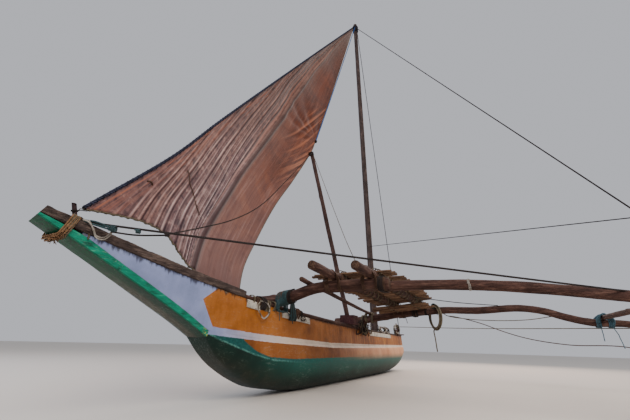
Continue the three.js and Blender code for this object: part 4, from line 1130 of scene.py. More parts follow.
def make_batten(name, middle, wide, y0, y1, base, tilt, skew, seeds):
    """Flat batten across the logs. base(y) gives its height before it bends."""
    rings = []
    for y in np.linspace(y0, y1, 26):
        z = base(y) + 0.008 * wobble((middle, y, 0), 3, sum(seeds))
        x = middle + skew * (y - BATTEN_MIDDLE_Y) * 2 + 0.004 * wobble((middle, y, 1), 4, seeds[1])
        ring = []
        for c, s in round_turn(BATTEN_POINTS):
            p = (x + wide * squared(c, 0.5), y, z + BATTEN_HALF_THICK * squared(s, 0.7) + tilt * c)
            out = 0.002 * wobble(p, 22, 3)
            ring.append((p[0] + out * c, p[1], p[2] + out * s))
        rings.append(ring)
    made = Builder().rings(rings, cap_slot=1).object(name, [SLAT_WOOD, END_WOOD])
    return made


def make_platform():
    draw = random.Random(5)
    for number in range(1, 8):
        low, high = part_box(f"platform_slat_{number}")
        pitch = (high.x - low.x) / BATTENS
        for k in range(BATTENS):
            middle = low.x + pitch * (k + 0.5)
            wide = pitch * draw.uniform(0.44, 0.74) / 2
            y0, y1 = low.y + draw.uniform(-0.03, 0.07), high.y - draw.uniform(-0.02, 0.06)
            tilt, skew = draw.uniform(-0.006, 0.006), draw.uniform(-0.012, 0.012)
            lift = draw.uniform(-0.002, 0.010)
            base = LAID["platform_log_1"](middle)[2] + LOG_RADIUS - 0.001
            slope = (LAID["platform_log_2"](middle)[2] - LAID["platform_log_1"](middle)[2]) / LOG_SPACING
            made = make_batten(f"slat_batten_{number}_{k + 1}", middle, wide, y0, y1,
                               lambda y: base + slope * (y - SLOPE_FROM_Y) + 0.012 + lift,
                               tilt, skew, (number, k))
            if k == 0:
                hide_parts(f"platform_slat_{number}")
    for log, y in (("platform_log_1", LOG_1_Y), ("platform_log_2", LOG_2_Y)):
        ropes = []
        for offset in (-0.050, 0.052):
            line = []
            for n, x in enumerate(np.arange(1.66, -0.92, -0.0445)):
                z = LAID[log](x)[2] + LOG_RADIUS + 0.010 + (0.022 if n % 2 else -0.014)
                line.append((x, y + offset + 0.006 * wobble((x, y, 0), 5, offset), z))
            ropes.append((through(line, 0.012), 0.0045, 0))
        rope_piece(f"{log}_lacing", [OLD_ROPE], ropes)


make_platform()

# Sail: a sheet between tack, peak and clew, drawn into folds that fan up from its foot to the head rope
SAIL_TACK, SAIL_PEAK, SAIL_CLEW = (3.970, 0.026, 1.316), (-1.300, 0.105, 8.960), (2.240, -0.020, 0.930)
HEAD_EDGE = [SAIL_TACK, (3.380, 0.010, 2.060), (2.890, 0.005, 2.800), (0.800, 0.040, 5.880), SAIL_PEAK]
LEECH_EDGE = [SAIL_CLEW, (2.210, -0.020, 1.270), (2.060, -0.010, 1.620), (1.740, 0, 2.205), (1.300, 0, 2.820),
              (0.760, 0.010, 3.660), (0.640, 0.020, 3.960), (0, 0.055, 5.590), SAIL_PEAK]
FOOT_EDGE = [SAIL_TACK, (3.800, 0.012, 1.350), (3.510, 0, 1.384), (3.270, -0.008, 1.350),
             (3.080, -0.012, 1.220), (2.820, -0.016, 1.060), SAIL_CLEW]
SAIL_BELLY, SAIL_TOP, CLOTH_HALF = 0.190, 0.992, 0.002
SAIL_BLEND = ((3.0, 0.0, 1.4), SAIL_PEAK)
LEECH_TIE = np.array([0.640, 0.020, 3.960])


def edge_reader(points):
    """Function that gives the edge's point at each share of its length."""
    line = through(points, 0.01)
    return lambda t: sample(line, np.linspace(0, 1, len(line)), t)


head_edge, leech_edge, foot_edge = (edge_reader(p) for p in (HEAD_EDGE, LEECH_EDGE, FOOT_EDGE))


def sail_surface(u, v):
    """Plain surface of the sail: u from head rope to leech, v from foot to peak."""
    u, v = np.asarray(u, float)[..., None], np.asarray(v, float)[..., None]
    across = head_edge(v[..., 0]) * (1 - u) + leech_edge(v[..., 0]) * u
    tack, clew = np.array(SAIL_TACK), np.array(SAIL_CLEW)
    across = across + (foot_edge(u[..., 0]) - (tack * (1 - u) + clew * u)) * (1 - v) ** 2
    belly = SAIL_BELLY * np.sin(np.pi * u) * np.sin(np.pi * np.minimum(v * 1.15, 1)) * (1 - v * 0.3)
    across[..., 1] -= belly[..., 0]
    return across


FOLDS = np.array([
    # number, place along the foot, how fast it leans to the head rope
    (0, 0.030, 0.375), (1, 0.120, 1.00), (2, 0.180, 1.20), (3, 0.230, 1.30), (4, 0.268, 1.31),
    (5, 0.310, 1.24), (6, 0.352, 1.17), (7, 0.395, 1.10), (8, 0.440, 1.07), (9, 0.490, 1.09),
    (10, 0.530, 1.08), (11, 0.555, 1.01), (12, 0.572, 0.894), (13, 0.582, 0.71), (14, 0.590, 0.472),
    (18, 1.0, 0.0)])


def wobbles(a, b, scale, seed):
    """Smooth noise at each place of two grids, which are scaled first."""
    return np.array([[wobble((x * scale[0], y * scale[1], scale[2]), 1.0, seed) for x, y in zip(*rows)]
                     for rows in zip(a, b)])


def fold_number(u, v):
    """Number of the fold at each point of a grid. A fold's line runs straight in u and v."""
    fine = np.linspace(0, 18, 500)
    foot, lean = (np.interp(fine, FOLDS[:, 0], FOLDS[:, k]) for k in (1, 2))
    out = np.array([np.interp(row, np.maximum.accumulate(foot - lean * height), fine)
                    for row, height in zip(u, v[:, 0])])
    wander = wobbles(out, v, (0.8, 7, 0), 9)
    return out + 0.22 * wander * rise((out - 0.5) / 1.5) * rise((14.2 - out) / 0.6)


def bump(x, width):
    return np.exp(-(x / width) ** 2)


def rise(x):
    return np.clip(x, 0, 1)


def sail_relief(u, v, p, number):
    """How far the cloth stands out of the plain surface, in metres."""
    small = wobbles(number, v, (2.6, 4, 2), 3)
    wide = np.array([[wobble(q, 1.1, 6) for q in row] for row in p])
    nearest = np.round(number)
    off = number - nearest
    strength = 0.68 + 0.32 * np.sin(2.4 * nearest + 0.8)
    pleated = rise((number - 0.7) / 0.9) * rise((14.4 - number) / 0.4)
    ease = rise(u / 0.03) * (0.35 + 0.65 * rise((0.98 - v) / 0.5))
    pleats = (0.016 * bump(off, 0.17) - 0.010 * bump(off - 0.25, 0.14)) * strength * pleated * ease
    pleats += 0.026 * bump(number - 13.62, 0.28) * ease - 0.030 * bump(number - 14.12, 0.30) * ease
    pleats += 0.005 * small * ease + 0.030 * wide * rise(u / 0.2) * rise((1 - u) / 0.2)
    seam = v - 0.5 * u - 0.0146
    pleats += 0.022 * bump(seam, 0.014) * rise((u - 0.55) / 0.25) * rise((1 - u) / 0.03)
    away = p - LEECH_TIE
    reach = np.linalg.norm(away, axis=-1)
    angle = np.arctan2(away[..., 2], away[..., 0])
    crease = np.abs(np.sin(angle * 5.5 + 0.6)) ** 3 * np.exp(-((reach - 0.45) / 0.42) ** 2)
    return pleats + 0.020 * crease * rise((1 - u) / 0.04)


def surface_normals(p):
    normal = np.cross(np.gradient(p, axis=1), np.gradient(p, axis=0))
    return normal / np.maximum(np.linalg.norm(normal, axis=-1, keepdims=True), 1e-12)


SAIL_ACROSS, SAIL_UP = 190, 240
SAIL_COLUMNS = np.interp(np.linspace(0, 1, SAIL_ACROSS + 1), [0, 0.76, 1], [0, 0.62, 1])


def sail_grid():
    """u, v, point and fold number at each place of the cloth."""
    u, v = np.meshgrid(SAIL_COLUMNS, np.linspace(0, SAIL_TOP, SAIL_UP + 1))
    p = sail_surface(u, v)
    number = fold_number(u, v)
    normal = surface_normals(p)
    p = p - normal * (sail_relief(u, v, p, number) * np.sign(normal[..., 1:2].mean()))[..., None]
    return u, v, p, number


def make_sail():
    """The cloth, two faces thick, with a uv map of its folds and one of its own u and v."""
    u, v, p, number = sail_grid()
    normal = surface_normals(p)
    rows, columns = u.shape
    verts = np.concatenate([(p + normal * half).reshape(-1, 3) for half in (CLOTH_HALF, -CLOTH_HALF)])
    spot = np.arange(rows * columns).reshape(rows, columns)
    faces, folds, cloth = [], [], []

    def face(cells, layers):
        faces.append([int(spot[c]) + layer * rows * columns for c, layer in zip(cells, layers)])
        folds.extend((number[c], v[c]) for c in cells)
        cloth.extend((u[c], v[c]) for c in cells)
    for i in range(rows - 1):
        for j in range(columns - 1):
            cells = [(i, j), (i, j + 1), (i + 1, j + 1), (i + 1, j)]
            face(cells, (0, 0, 0, 0))
            face(cells[::-1], (1, 1, 1, 1))
    border = ([(0, j) for j in range(columns)] + [(i, columns - 1) for i in range(1, rows)]
              + [(rows - 1, j) for j in range(columns - 2, -1, -1)]
              + [(i, 0) for i in range(rows - 2, 0, -1)])
    for a, b in zip(border, border[1:] + border[:1]):
        face([b, a, a, b], (0, 0, 1, 1))
    made = new_object("sail_cloth", verts, faces, [SAIL_CLOTH], body=None)
    for layer_name, uvs in (("Folds", folds), ("Cloth", cloth)):
        layer = made.data.uv_layers.new(name=layer_name)
        layer.data.foreach_set("uv", np.array(uvs, np.float32).ravel())
    stand_for(made, "sail_cloth", "sail")
    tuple(SAIL_BLEND[0])
    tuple(SAIL_BLEND[1])
    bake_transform(made)
    across, other = p[1:, 1:] - p[:-1, :-1], p[1:, :-1] - p[:-1, 1:]
    return made, p, float(np.linalg.norm(np.cross(across, other), axis=-1).sum() / 2)


sail_cloth, SAIL_POINTS, SAIL_AREA = make_sail()


def wound(line, radius, pitch, thread):
    """A thread wound round a line, as a path of its own."""
    line = spaced(line, pitch / 8)
    _, side, up = frames_along(line)
    angle = np.arange(len(line)) * 2 * math.pi / 8
    return line + (radius + thread) * (np.cos(angle)[:, None] * side + np.sin(angle)[:, None] * up)


def trim_edge(name, line, radius, material, whip=None):
    """Rope sewn along an edge of the sail, with the thread that holds it."""
    ropes = [(spaced(line, 0.02), radius, 0, 8)]
    if whip:
        ropes.append((wound(line, radius, whip, 0.0022), 0.0024, 0, 4))
    return rope_piece(name, [material], ropes, blend=SAIL_BLEND)


def on_sail(u, v, proud=0.006):
    """Point just off the outrigger side of the cloth."""
    row, column = v / SAIL_TOP * SAIL_UP, float(np.interp(u, SAIL_COLUMNS, np.arange(SAIL_ACROSS + 1)))
    return SAIL_POINTS[min(round(row), SAIL_UP), min(round(column), SAIL_ACROSS)] + np.array([0, proud, 0])


head_line = SAIL_POINTS[:, 0] + np.array([0, 0, 0.008])
head_rope = trim_edge("sail_head_rope", head_line, 0.0125, NAVY_ROPE, 0.055)
leech_rope = trim_edge("sail_leech_rope", SAIL_POINTS[:, -1], 0.0055, OLD_ROPE)
foot_rope = trim_edge("sail_foot_rope", SAIL_POINTS[0], 0.0065, OLD_ROPE, 0.06)
SAIL_MARKS = [  # radius, places across and up: a seam and a reef tie
    (0.0045, [(0.175, 0.092), (0.232, 0.081), (0.269, 0.075), (0.338, 0.067), (0.406, 0.058),
              (0.481, 0.054)]),
    (0.0060, [(0.062, 0.054), (0.086, 0.053), (0.113, 0.050)])]
ropes = [(through([on_sail(*place) for place in places], 0.02), radius, 0) for radius, places in SAIL_MARKS]
sail_marks = rope_piece("sail_seam", [BROWN_ROPE], ropes, blend=SAIL_BLEND)


# Lashings

def hull_of(points):
    """Convex outline of 2-D points, counter-clockwise."""
    points = sorted(set((round(float(a), 6), round(float(b), 6)) for a, b in points))

    def half(rows):
        out = []
        for p in rows:
            while len(out) > 1 and ((out[-1][0] - out[-2][0]) * (p[1] - out[-2][1])
                                    - (out[-1][1] - out[-2][1]) * (p[0] - out[-2][0])) <= 0:
                out.pop()
            out.append(p)
        return out[:-1]
    return half(points) + half(points[::-1])


def loop_round(circles, out, count=40):
    """Evenly spaced points of a taut loop round circles, each (a, b, radius)."""
    angles = np.linspace(0, 2 * math.pi, 24, endpoint=False)
    points = [(a + (r + out) * math.cos(t), b + (r + out) * math.sin(t))
              for a, b, r in circles for t in angles]
    ring = np.array(hull_of(points))
    start = int(np.argmax(ring[:, 1]))
    ring = np.vstack([ring[start:], ring[:start + 1]])
    marks = lengths_along(ring)
    return sample(ring, marks, np.linspace(0, marks[-1], count, endpoint=False))


def winding(circles_at, place, start, end, turns, radius, seed, layer=0, slack=0.6, count=40, slant=0.0):
    """Path of turns side by side round what circles_at(s) gives. place(a, b, s) turns it into a point."""
    out = radius * (1 + 1.9 * layer)
    path = []
    for n in range(int(turns * count) + 1):
        share = n / (turns * count)
        s = start + (end - start) * share
        loop = loop_round(circles_at(s), out, count) if n % count == 0 or not path else loop
        a, b = loop[n % count]
        jitter = wobble((n / count * 3.1, seed, share * 5), 1.0, seed)
        lift = 1 + slack * 0.05 * wobble((n / 7, seed * 2, 0), 1.0, seed)
        middle = loop.mean(0)
        a, b = middle + (np.array([a, b]) - middle) * lift
        path.append(place(a, b, s + jitter * radius * slack + slant * math.sin(2 * math.pi * n / count)))
    return np.array(path)


def tail(start, direction, reach, drop, seed, spacing=0.02):
    """Loose rope end that bends down as it goes."""
    direction = unit(direction)
    points = [np.array(start)]
    steps = max(4, int(reach / 0.04))
    for n in range(1, steps + 1):
        t = n / steps
        sway = np.array([wobble((n * 0.7, seed, 0), 1, seed), wobble((n * 0.7, seed, 4), 1, seed + 1), 0])
        way = direction * (1 - t * 0.7) - UP * drop * t + 0.35 * sway
        points.append(points[-1] + unit(way) * reach / steps)
    return through(points, spacing)


def xz(a, b, s):
    return a, s, b


def yz(a, b, s):
    return s, a, b


HALF_BOARD = 0.062


def board_and_boom(boom, board_z, edge_radius):
    """Circles, read by y, of a boom and of the two edges of what it is lashed down to."""
    x = boom_x(boom)

    def around(y):
        z, r = boom_at(boom, y)
        return [(x, z, r), (x - HALF_BOARD, board_z, edge_radius), (x + HALF_BOARD, board_z, edge_radius)]
    return around


def hull_lashing(boom, low, y_from, y_to, radius, seed, turns):
    """Two layers of turns over a boom and down outside the planks to the board below it."""
    around = board_and_boom(boom, low, 0.012)
    return [(winding(around, xz, start, end, turns * (1 - 0.25 * layer), radius, seed + layer, layer, 1.2,
                     slant=0.010 * layer), radius, layer)
            for layer, (start, end) in enumerate(((y_from, y_to), (y_to, y_from + 0.01)))]


ropes = hull_lashing("near_boom_inner", 0.878, 0.222, 0.262, 0.0045, 3, 5)
ropes.append((tail((NEAR_BOOM_X - 0.08, 0.258, 0.86), (-0.4, 0.6, -0.2), 0.16, 1.2, 4), 0.0045, 0))
ropes.append((tail((NEAR_BOOM_X + 0.07, 0.262, 0.84), (0.5, 0.4, -0.2), 0.11, 1.4, 5), 0.0045, 0))
rope_piece("near_hull_turns", [TEAL_ROPE, TEAL_ROPE], ropes, ["near_hull_lashing"])
ropes = hull_lashing("far_boom_inner", 0.775, 0.236, 0.278, 0.006, 8, 6)
for k in range(5):
    ropes.append((tail((FAR_BOOM_X + 0.06 - 0.03 * k, 0.268, 0.86 - 0.01 * k), (0.3 - 0.2 * k, 0.5, -0.3),
                       0.12 + 0.03 * (k % 3), 1.3, 20 + k), 0.0055, k % 2))
rope_piece("far_hull_turns", [DARK_ROPE, OLD_ROPE], ropes, ["far_hull_lashing"])


def scarf_lashing(which, y, seed):
    """Two layers of turns round the overlap of a boom's two poles."""
    def around(s):
        return [(boom_x(boom), *boom_at(boom, s)) for boom in (f"{which}_boom_inner", f"{which}_boom_outer")]
    ropes = [(winding(around, xz, y - 0.034, y + 0.034, 6, 0.0055, seed, 0, 0.8), 0.0055, 0),
             (winding(around, xz, y + 0.028, y - 0.026, 4, 0.0055, seed + 1, 1, 1.2, slant=0.008), 0.0055, 1)]
    rope_piece(f"{which}_scarf_turns", [BROWN_ROPE, DARK_ROPE], ropes, [f"{which}_scarf_lashing"])


scarf_lashing("near", 1.430, 41)
scarf_lashing("far", 1.190, 43)


def cross_lashing(pole, pole_radius, boom, turns, radius):
    """Square lashing where a pole laid along X crosses a boom: over the pole, under the boom."""
    x, y, high = LAID[pole](boom_x(boom))
    low, low_radius = boom_at(boom, y)
    middle = (low + low_radius + high - pole_radius) / 2
    path = []
    for n in range(turns):
        out = radius * (1 + 2 * n)
        a, b = low_radius + out * 0.8 + 0.004, pole_radius + out * 0.8 + 0.004
        clear = radius * (1 + 0.7 * (n % 2))
        top, bottom = high + pole_radius + clear, low - low_radius - clear
        path.extend([(x - a, y - b, middle), (x - a, y, top), (x - a, y + b, middle),
                     (x - a * 0.6, y + b, bottom + 0.3 * a), (x, y + b, bottom),
                     (x + a * 0.6, y + b, bottom + 0.3 * a), (x + a, y + b, middle), (x + a, y, top),
                     (x + a, y - b, middle), (x + a * 0.6, y - b, bottom + 0.3 * a), (x, y - b, bottom),
                     (x - a * 0.6, y - b, bottom + 0.3 * a)])
    return through(path, 0.010)


for number, node in enumerate(("near_brace_lashing", "far_brace_lashing")):
    boom = node.replace("brace_lashing", "boom_outer")
    z, r = boom_at(boom, BRACE_Y)
    x = boom_x(boom) + r
    ropes = [(cross_lashing("brace_pole", BRACE_RADIUS, boom, 5, 0.0078), 0.0078, 0),
             (tail((x, BRACE_Y + 0.05, z - 0.01), (0.5, 0.3, -0.6), 0.34, 1.6, 63 + number), 0.005, 0),
             (tail((x, BRACE_Y - 0.05, z - 0.02), (0.7, -0.2, -0.6), 0.24, 1.5, 66 + number), 0.005, 0)]
    rope_piece(f"{node}_turns", [SEA_ROPE], ropes, [node])
for number, node in enumerate(("near_float_lashing", "far_float_lashing")):
    around = board_and_boom(node.replace("float_lashing", "boom_outer"), 0.270, 0.010)
    ropes = [(winding(around, xz, 4.690, 4.880, 14, 0.0065, 71 + number, 0, 0.7), 0.0065, 0),
             (winding(around, xz, 4.860, 4.710, 6, 0.0065, 73 + number, 1, 1.5, slant=0.02), 0.0065, 0)]
    rope_piece(f"{node}_turns", [COIR], ropes, [node])


# Prow: coir round the beam and the rails, rising towards the peg
def prow_section(x):
    x = min(x, TIP_X - 0.01)
    low, _, low_half, _ = BEAM(x)
    outer, bottom = rail_outer(x), rail_bottom(x)
    return [(side * (half - 0.006), z, 0.006) for side in (-1, 1)
            for half, z in ((outer, bottom + 0.060), (outer, bottom + 0.008), (low_half, low + 0.006))]


def prow_turns(start, turns, radius, seed, layer, lean, pitch):
    """Turns round the prow that lean back towards their top, from start on."""
    path = []
    count = 44
    for n in range(int(turns * count) + 1):
        x = start + n / count * pitch
        if n % count == 0:
            loop = loop_round(prow_section(x), radius * (1 + 1.6 * layer), count)
        a, b = loop[n % count]
        path.append((x + lean * (LEAN_FROM_Z - b) + 0.9 * radius * wobble((n / 9, seed, 0), 1, seed), a,
                     b + 0.5 * radius * wobble((n / 8, seed, 7), 1, seed)))
    return path


def fray(spots, seed, count, reach, drop):
    """Loose fibres that stand out near the spots."""
    draw = random.Random(seed)
    lines = []
    for _ in range(count):
        p = np.array(draw.choice(spots)) + np.array([draw.uniform(-0.014, 0.014) for _ in range(3)])
        way = (draw.uniform(-1, 1), draw.uniform(-0.2, 1.2), draw.uniform(-0.9, 0.7))
        lines.append(tail(p, way, reach * draw.uniform(0.4, 1.2), drop, draw.uniform(0, 50), 0.012))
    return lines


LEAN_FROM_Z, PEG_AT = 1.215, (3.985, 0.026)
PROW_WINDINGS = [  # start x, turns, radius, seed, layer, lean, pitch, material
    (4.000, 5, 0.0050, 5, 0, 0.36, 0.0112, 0), (4.006, 3, 0.0046, 7, 1, 0.30, 0.0140, 1),
    (4.000, 2, 0.0042, 9, 1, 0.46, 0.0200, 0)]
FRAY_SPOTS = [(4.066, 0.100, 1.120), (4.080, 0.095, 1.098), (4.096, 0.085, 1.086), (4.090, 0.060, 1.084),
              (4.088, 0.020, 1.082), (4.052, 0.106, 1.150)]
FRAYS = [  # seed, how many, reach, radius
    (3, 70, 0.034, 0.0014), (8, 24, 0.032, 0.0030), (12, 6, 0.055, 0.0012)]
PEG_WINDINGS = [  # turns, out from the peg's middle, lowest height, slant, radius, material
    (5, 0.0235, 1.1985, 0.0, 0.0055, 1), (3, 0.0300, 1.200, 0.006, 0.0050, 1),
    (2, 0.0370, 1.203, -0.005, 0.0046, 0)]
PROW_TAILS = [  # start, way, reach, radius
    ((3.962, 0.055, 1.212), (-0.7, 0.6, -0.5), 0.13, 0.0050),
    ((4.01, 0.06, 1.21), (0.5, 0.8, -0.5), 0.10, 0.0045),
    ((3.975, -0.02, 1.205), (-0.9, -0.3, -0.2), 0.12, 0.0050)]
ropes = [(prow_turns(*row[:-1]), row[2], row[-1]) for row in PROW_WINDINGS]
for seed, count, reach, radius in FRAYS:
    ropes.extend((line, radius, 0) for line in fray(FRAY_SPOTS, seed, count, reach, 0.7))
for turns, out, low, slant, radius, material in PEG_WINDINGS:
    path = []
    for n in range(turns * 24 + 1):
        a = n / 24 * 2 * math.pi
        path.append((PEG_AT[0] + out * math.cos(a), PEG_AT[1] + out * math.sin(a),
                     low + n / 24 * 2.15 * radius + slant * math.sin(a)))
    ropes.append((path, radius, material))
for start, way, reach, radius in PROW_TAILS:
    ropes.append((tail(start, way, reach, 0.8, reach * 90), radius, 1))
rope_piece("prow_turns", [COIR, OLD_ROPE], ropes, ["prow_lashing"])


# Turns at the masthead, in the mast's own lengthwise frame
def masthead():
    side = unit(np.cross(MAST_AXIS, (0, 1, 0)))
    other = np.cross(MAST_AXIS, side)
    ropes = []
    for layer, (turns, radius, material) in enumerate(((15, 0.0062, 0), (9, 0.0058, 1), (5, 0.005, 0))):
        path = []
        for n in range(turns * 26 + 1):
            share = n / (turns * 26)
            share = share if layer % 2 == 0 else 1 - share
            a = n / 26 * 2 * math.pi
            out = 0.0515 + radius + layer * 0.0095 + 0.002 * wobble((n / 9, layer, 0), 1, 5)
            height = MAST_LENGTH - 0.262 + 0.012 + 0.176 * share + 0.004 * layer * math.sin(a)
            path.append(mast_point(height) + out * (side * math.cos(a) + other * math.sin(a)))
        ropes.append((path, radius, material))
    rope_piece("masthead_turns", [DARK_ROPE, NAVY_ROPE], ropes, ["masthead_lashing"], "mast")


masthead()


# Stays and the guy line, of laid rope pulled nearly straight
STAY_TOP, STAY_KNOT = np.array([-1.290, 0.190, 8.880]), np.array([1.150, 3.760, 1.700])
STAY_FOOT = np.array([NEAR_OUTER_X, 4.460, 0.590])


def sagging(start, end, sag=0.0):
    """Points of a line from start to end that hangs by sag in the middle."""
    start, end = np.array(start, float), np.array(end, float)
    count = max(8, int(np.linalg.norm(end - start) / 0.05))
    t = np.linspace(0, 1, count + 1)[:, None]
    line = start + (end - start) * t
    line[:, 2] -= (4 * sag * t * (1 - t))[:, 0]
    return line


def knot(centre, way, radius, rope_radius, turns=4):
    """Round turns about a line, drawn tight."""
    way = unit(way)
    side = unit(np.cross(way, UP))
    up = np.cross(side, way)
    path = []
    for n in range(turns * 16 + 1):
        a = n / 16 * 2 * math.pi
        path.append(np.array(centre) + way * ((n / (turns * 16) - 0.5) * turns * 2.1 * rope_radius)
                    + (side * math.cos(a) + up * math.sin(a)) * radius)
    return np.array(path)


stay_way, foot_way = STAY_TOP - STAY_KNOT, STAY_FOOT - STAY_KNOT
rope_piece("outrigger_stay_rope", [DARK_ROPE], [
    (sagging(STAY_TOP, STAY_KNOT), 0.0078, 0), (sagging(STAY_KNOT, STAY_FOOT), 0.0078, 0),
    (knot(STAY_KNOT + unit(stay_way) * 0.01, stay_way, 0.0145, 0.006), 0.006, 0),
    (knot(STAY_KNOT + unit(foot_way) * 0.03, foot_way, 0.0135, 0.005, 3), 0.005, 0)],
    ["outrigger_stay"], sides=7, blend=(STAY_KNOT, STAY_TOP))
mid_mast = mast_point(2.560)
rope_piece("mid_stay_rope", [DARK_ROPE],
           [(sagging(mid_mast + unit(STAY_KNOT - mid_mast) * 0.062, STAY_KNOT), 0.0058, 0)],
           ["mid_stay"], sides=7, blend=(STAY_KNOT, mid_mast))
GUY_START, GUY_END = np.array([3.975, 0.036, 1.226]), np.array([NEAR_OUTER_X, 3.350, 0.955])
rope_piece("prow_guy_rope", [DARK_ROPE], [(sagging(GUY_START, GUY_END, 0.006), 0.0076, 0)],
           ["prow_guy"], sides=7)


# Coil hung on the far boom and its loose end: one rope
COIL_Y, COIL_MIDDLE, COIL_THICK, COIL_BITE = 1.500, 0.190, 0.034, 0.003
COIL_ROPE, COIL_SLOT, COIL_TURNS, COIL_POINTS = 0.010, 0.0205, 4.5, 30
COIL_STEP, COIL_TWIST = math.radians(60), math.radians(36)
END_BEND, END_DROP = 0.050, 0.300


def make_coil():
    """First turn in the middle of the bundle, further turns a step round it each, then the loose end."""
    z, r = boom_at("far_boom_outer", COIL_Y)
    centre = np.array([FAR_OUTER_X, COIL_Y, z + r - COIL_MIDDLE + COIL_THICK - COIL_BITE])
    path = []
    for n in range(int(COIL_POINTS * (1 + COIL_TURNS)) + 1):
        t = n / COIL_POINTS
        if t < 1:
            a, b = COIL_SLOT * smooth_step((t - 0.75) / 0.25), 0.0
        else:
            a, b = COIL_SLOT * math.cos(COIL_STEP * (t - 1)), COIL_SLOT * math.sin(COIL_STEP * (t - 1))
        turn, out = math.pi / 2 - 2 * math.pi * t, COIL_MIDDLE + a
        path.append(centre + np.array([out * math.cos(turn), b, out * math.sin(turn)]))
    start = path[-1]
    for k in range(1, 7):
        angle = math.radians(15 * k)
        path.append(start + np.array([-END_BEND * math.sin(angle), 0.0, -END_BEND * (1 - math.cos(angle))]))
    low = path[-1]
    for k in range(1, 11):
        t = k / 10
        path.append(low + np.array([0.006 * math.sin(t * 5), 0.030 * t, -END_DROP * t]))
    c, s = math.cos(COIL_TWIST), math.sin(COIL_TWIST)
    path = centre + (np.array(path) - centre) @ np.array([[c, -s, 0], [s, c, 0], [0, 0, 1]]).T
    made = rope_piece("coil_rope", [OLD_ROPE], [(path, COIL_ROPE, 0)], ["rope_coil", "rope_end"],
                      sides=10)
    end_line = knot(path[-1] + np.array([0, 0, 0.014]), UP, 0.0125, 0.0045, 4)
    end_knot = rope_piece("coil_rope_knot", [OLD_ROPE], [(end_line, 0.0045, 0)], sides=7)
    top = centre + np.array([0.0, 0.0, COIL_MIDDLE])
    wraps = [(knot(top + (offset, 0, -abs(offset) * 0.25), (1, 0.1, -offset * 5), 0.0375, 0.0062, turns),
              0.0062, 0, 7) for offset, turns in ((-0.045, 5), (0.020, 6))]
    loose = [top + np.array(p) for p in ((0.05, 0.034, 0.0), (0.03, 0.040, -0.07), (0.035, 0.046, -0.16))]
    rope_piece("coil_wrap", [TEAL_ROPE], [*wraps, (through(loose, 0.012), 0.0060, 0)])
    tuple(map(float, path[0]))
    round(float(lengths_along(path)[-1]), 2)
    [tuple(map(float, p)) for p in path]


make_coil()


# Ropes and fittings along the rail on the outrigger side
def rail_and_plank(reach):
    """Circles, read by x, of the pole rail and of a place on the planks, reach below it."""
    def around(x):
        half, top = SHEER(x)
        radius = float(np.interp(x, [-1.2, 0.9, 1.4, 1.9, 2.36], [0.030, 0.030, 0.027, 0.0232, 0.0205]))
        y, z = half - RAIL_INSET, top + radius * 0.92
        return [(y, z, radius), (y, z - radius - reach, 0.016)]
    return around


RAIL_WRAPS = [  # from x, to x, turns, radius, down the plank, seed, material
    (2.262, 2.236, 3, 0.0042, 0.006, 5, 1), (2.205, 2.110, 6, 0.0062, 0.050, 8, 0),
    (2.150, 2.050, 6, 0.0075, 0.030, 11, 2), (2.060, 1.960, 7, 0.0060, 0.055, 14, 1),
    (1.900, 1.850, 4, 0.0055, 0.010, 17, 1), (1.440, 1.340, 6, 0.0062, 0.030, 21, 0),
    (1.340, 1.260, 4, 0.0058, 0.012, 24, 2), (-0.780, -0.900, 7, 0.0070, 0.030, 27, 0),
    (-1.020, -1.180, 8, 0.0070, 0.050, 31, 1)]
ropes = []
for start, end, turns, radius, reach, seed, material in RAIL_WRAPS:
    line = winding(rail_and_plank(reach), yz, start, end, turns, radius, seed, seed % 2, 1.6, 30, 0.012)
    ropes.append((line, radius, material))
rope_piece("rail_turns", [BROWN_ROPE, OLD_ROPE, DARK_ROPE], ropes)


def rough_ring(points, seed, strands, spread):
    """Strands that follow closed rings through the points, each a little off the others."""
    lines = []
    for n in range(strands):
        ring = [np.array(p) + spread * np.array([wobble((k * 0.9, n * 3.1, seed), 1, 2),
                                                 0.5 * wobble((k, n * 2.3, seed), 1, 5),
                                                 wobble((k * 0.8, n * 1.7, seed), 1, 7)])
                for k, p in enumerate(points)]
        lines.append(through(ring + [ring[0]], 0.012))
    return lines


OVAL_ANGLES = np.linspace(0, 2 * math.pi, 9)[:-1]
RING_POINTS = [(2.150, 0.215, 0.935), (2.188, 0.232, 0.904), (2.208, 0.235, 0.852), (2.171, 0.237, 0.796),
               (2.112, 0.238, 0.758), (2.043, 0.237, 0.782), (2.006, 0.235, 0.826), (2.000, 0.232, 0.873),
               (2.030, 0.216, 0.930)]
FITTINGS = [  # middle, size along, size up, strands, seed, material
    ((1.255, 0.236, 0.822), 0.055, 0.030, 3, 6, 1), ((1.205, 0.236, 0.808), 0.040, 0.024, 2, 9, 0)]
ropes = [(line, 0.0056, 2 * (n % 2)) for n, line in enumerate(rough_ring(RING_POINTS, 4, 4, 0.020))]
for (x, y, z), wide, tall, strands, seed, material in FITTINGS:
    ring = [(x + wide * math.cos(a), y, z + tall * math.sin(a)) for a in OVAL_ANGLES]
    ropes.extend((line, 0.0055, material) for line in rough_ring(ring, seed, strands, 0.016))
rope_piece("rail_rings", [PALE_ROPE, DARK_ROPE, OLD_ROPE], ropes)


BUNCH_WRAPS = [  # from y, to y, turns, radius, seed, material
    (0.205, 0.275, 7, 0.0062, 33, 0), (0.262, 0.350, 8, 0.0062, 35, 0), (0.345, 0.400, 4, 0.0055, 37, 1),
    (0.300, 0.225, 4, 0.0060, 39, 2)]


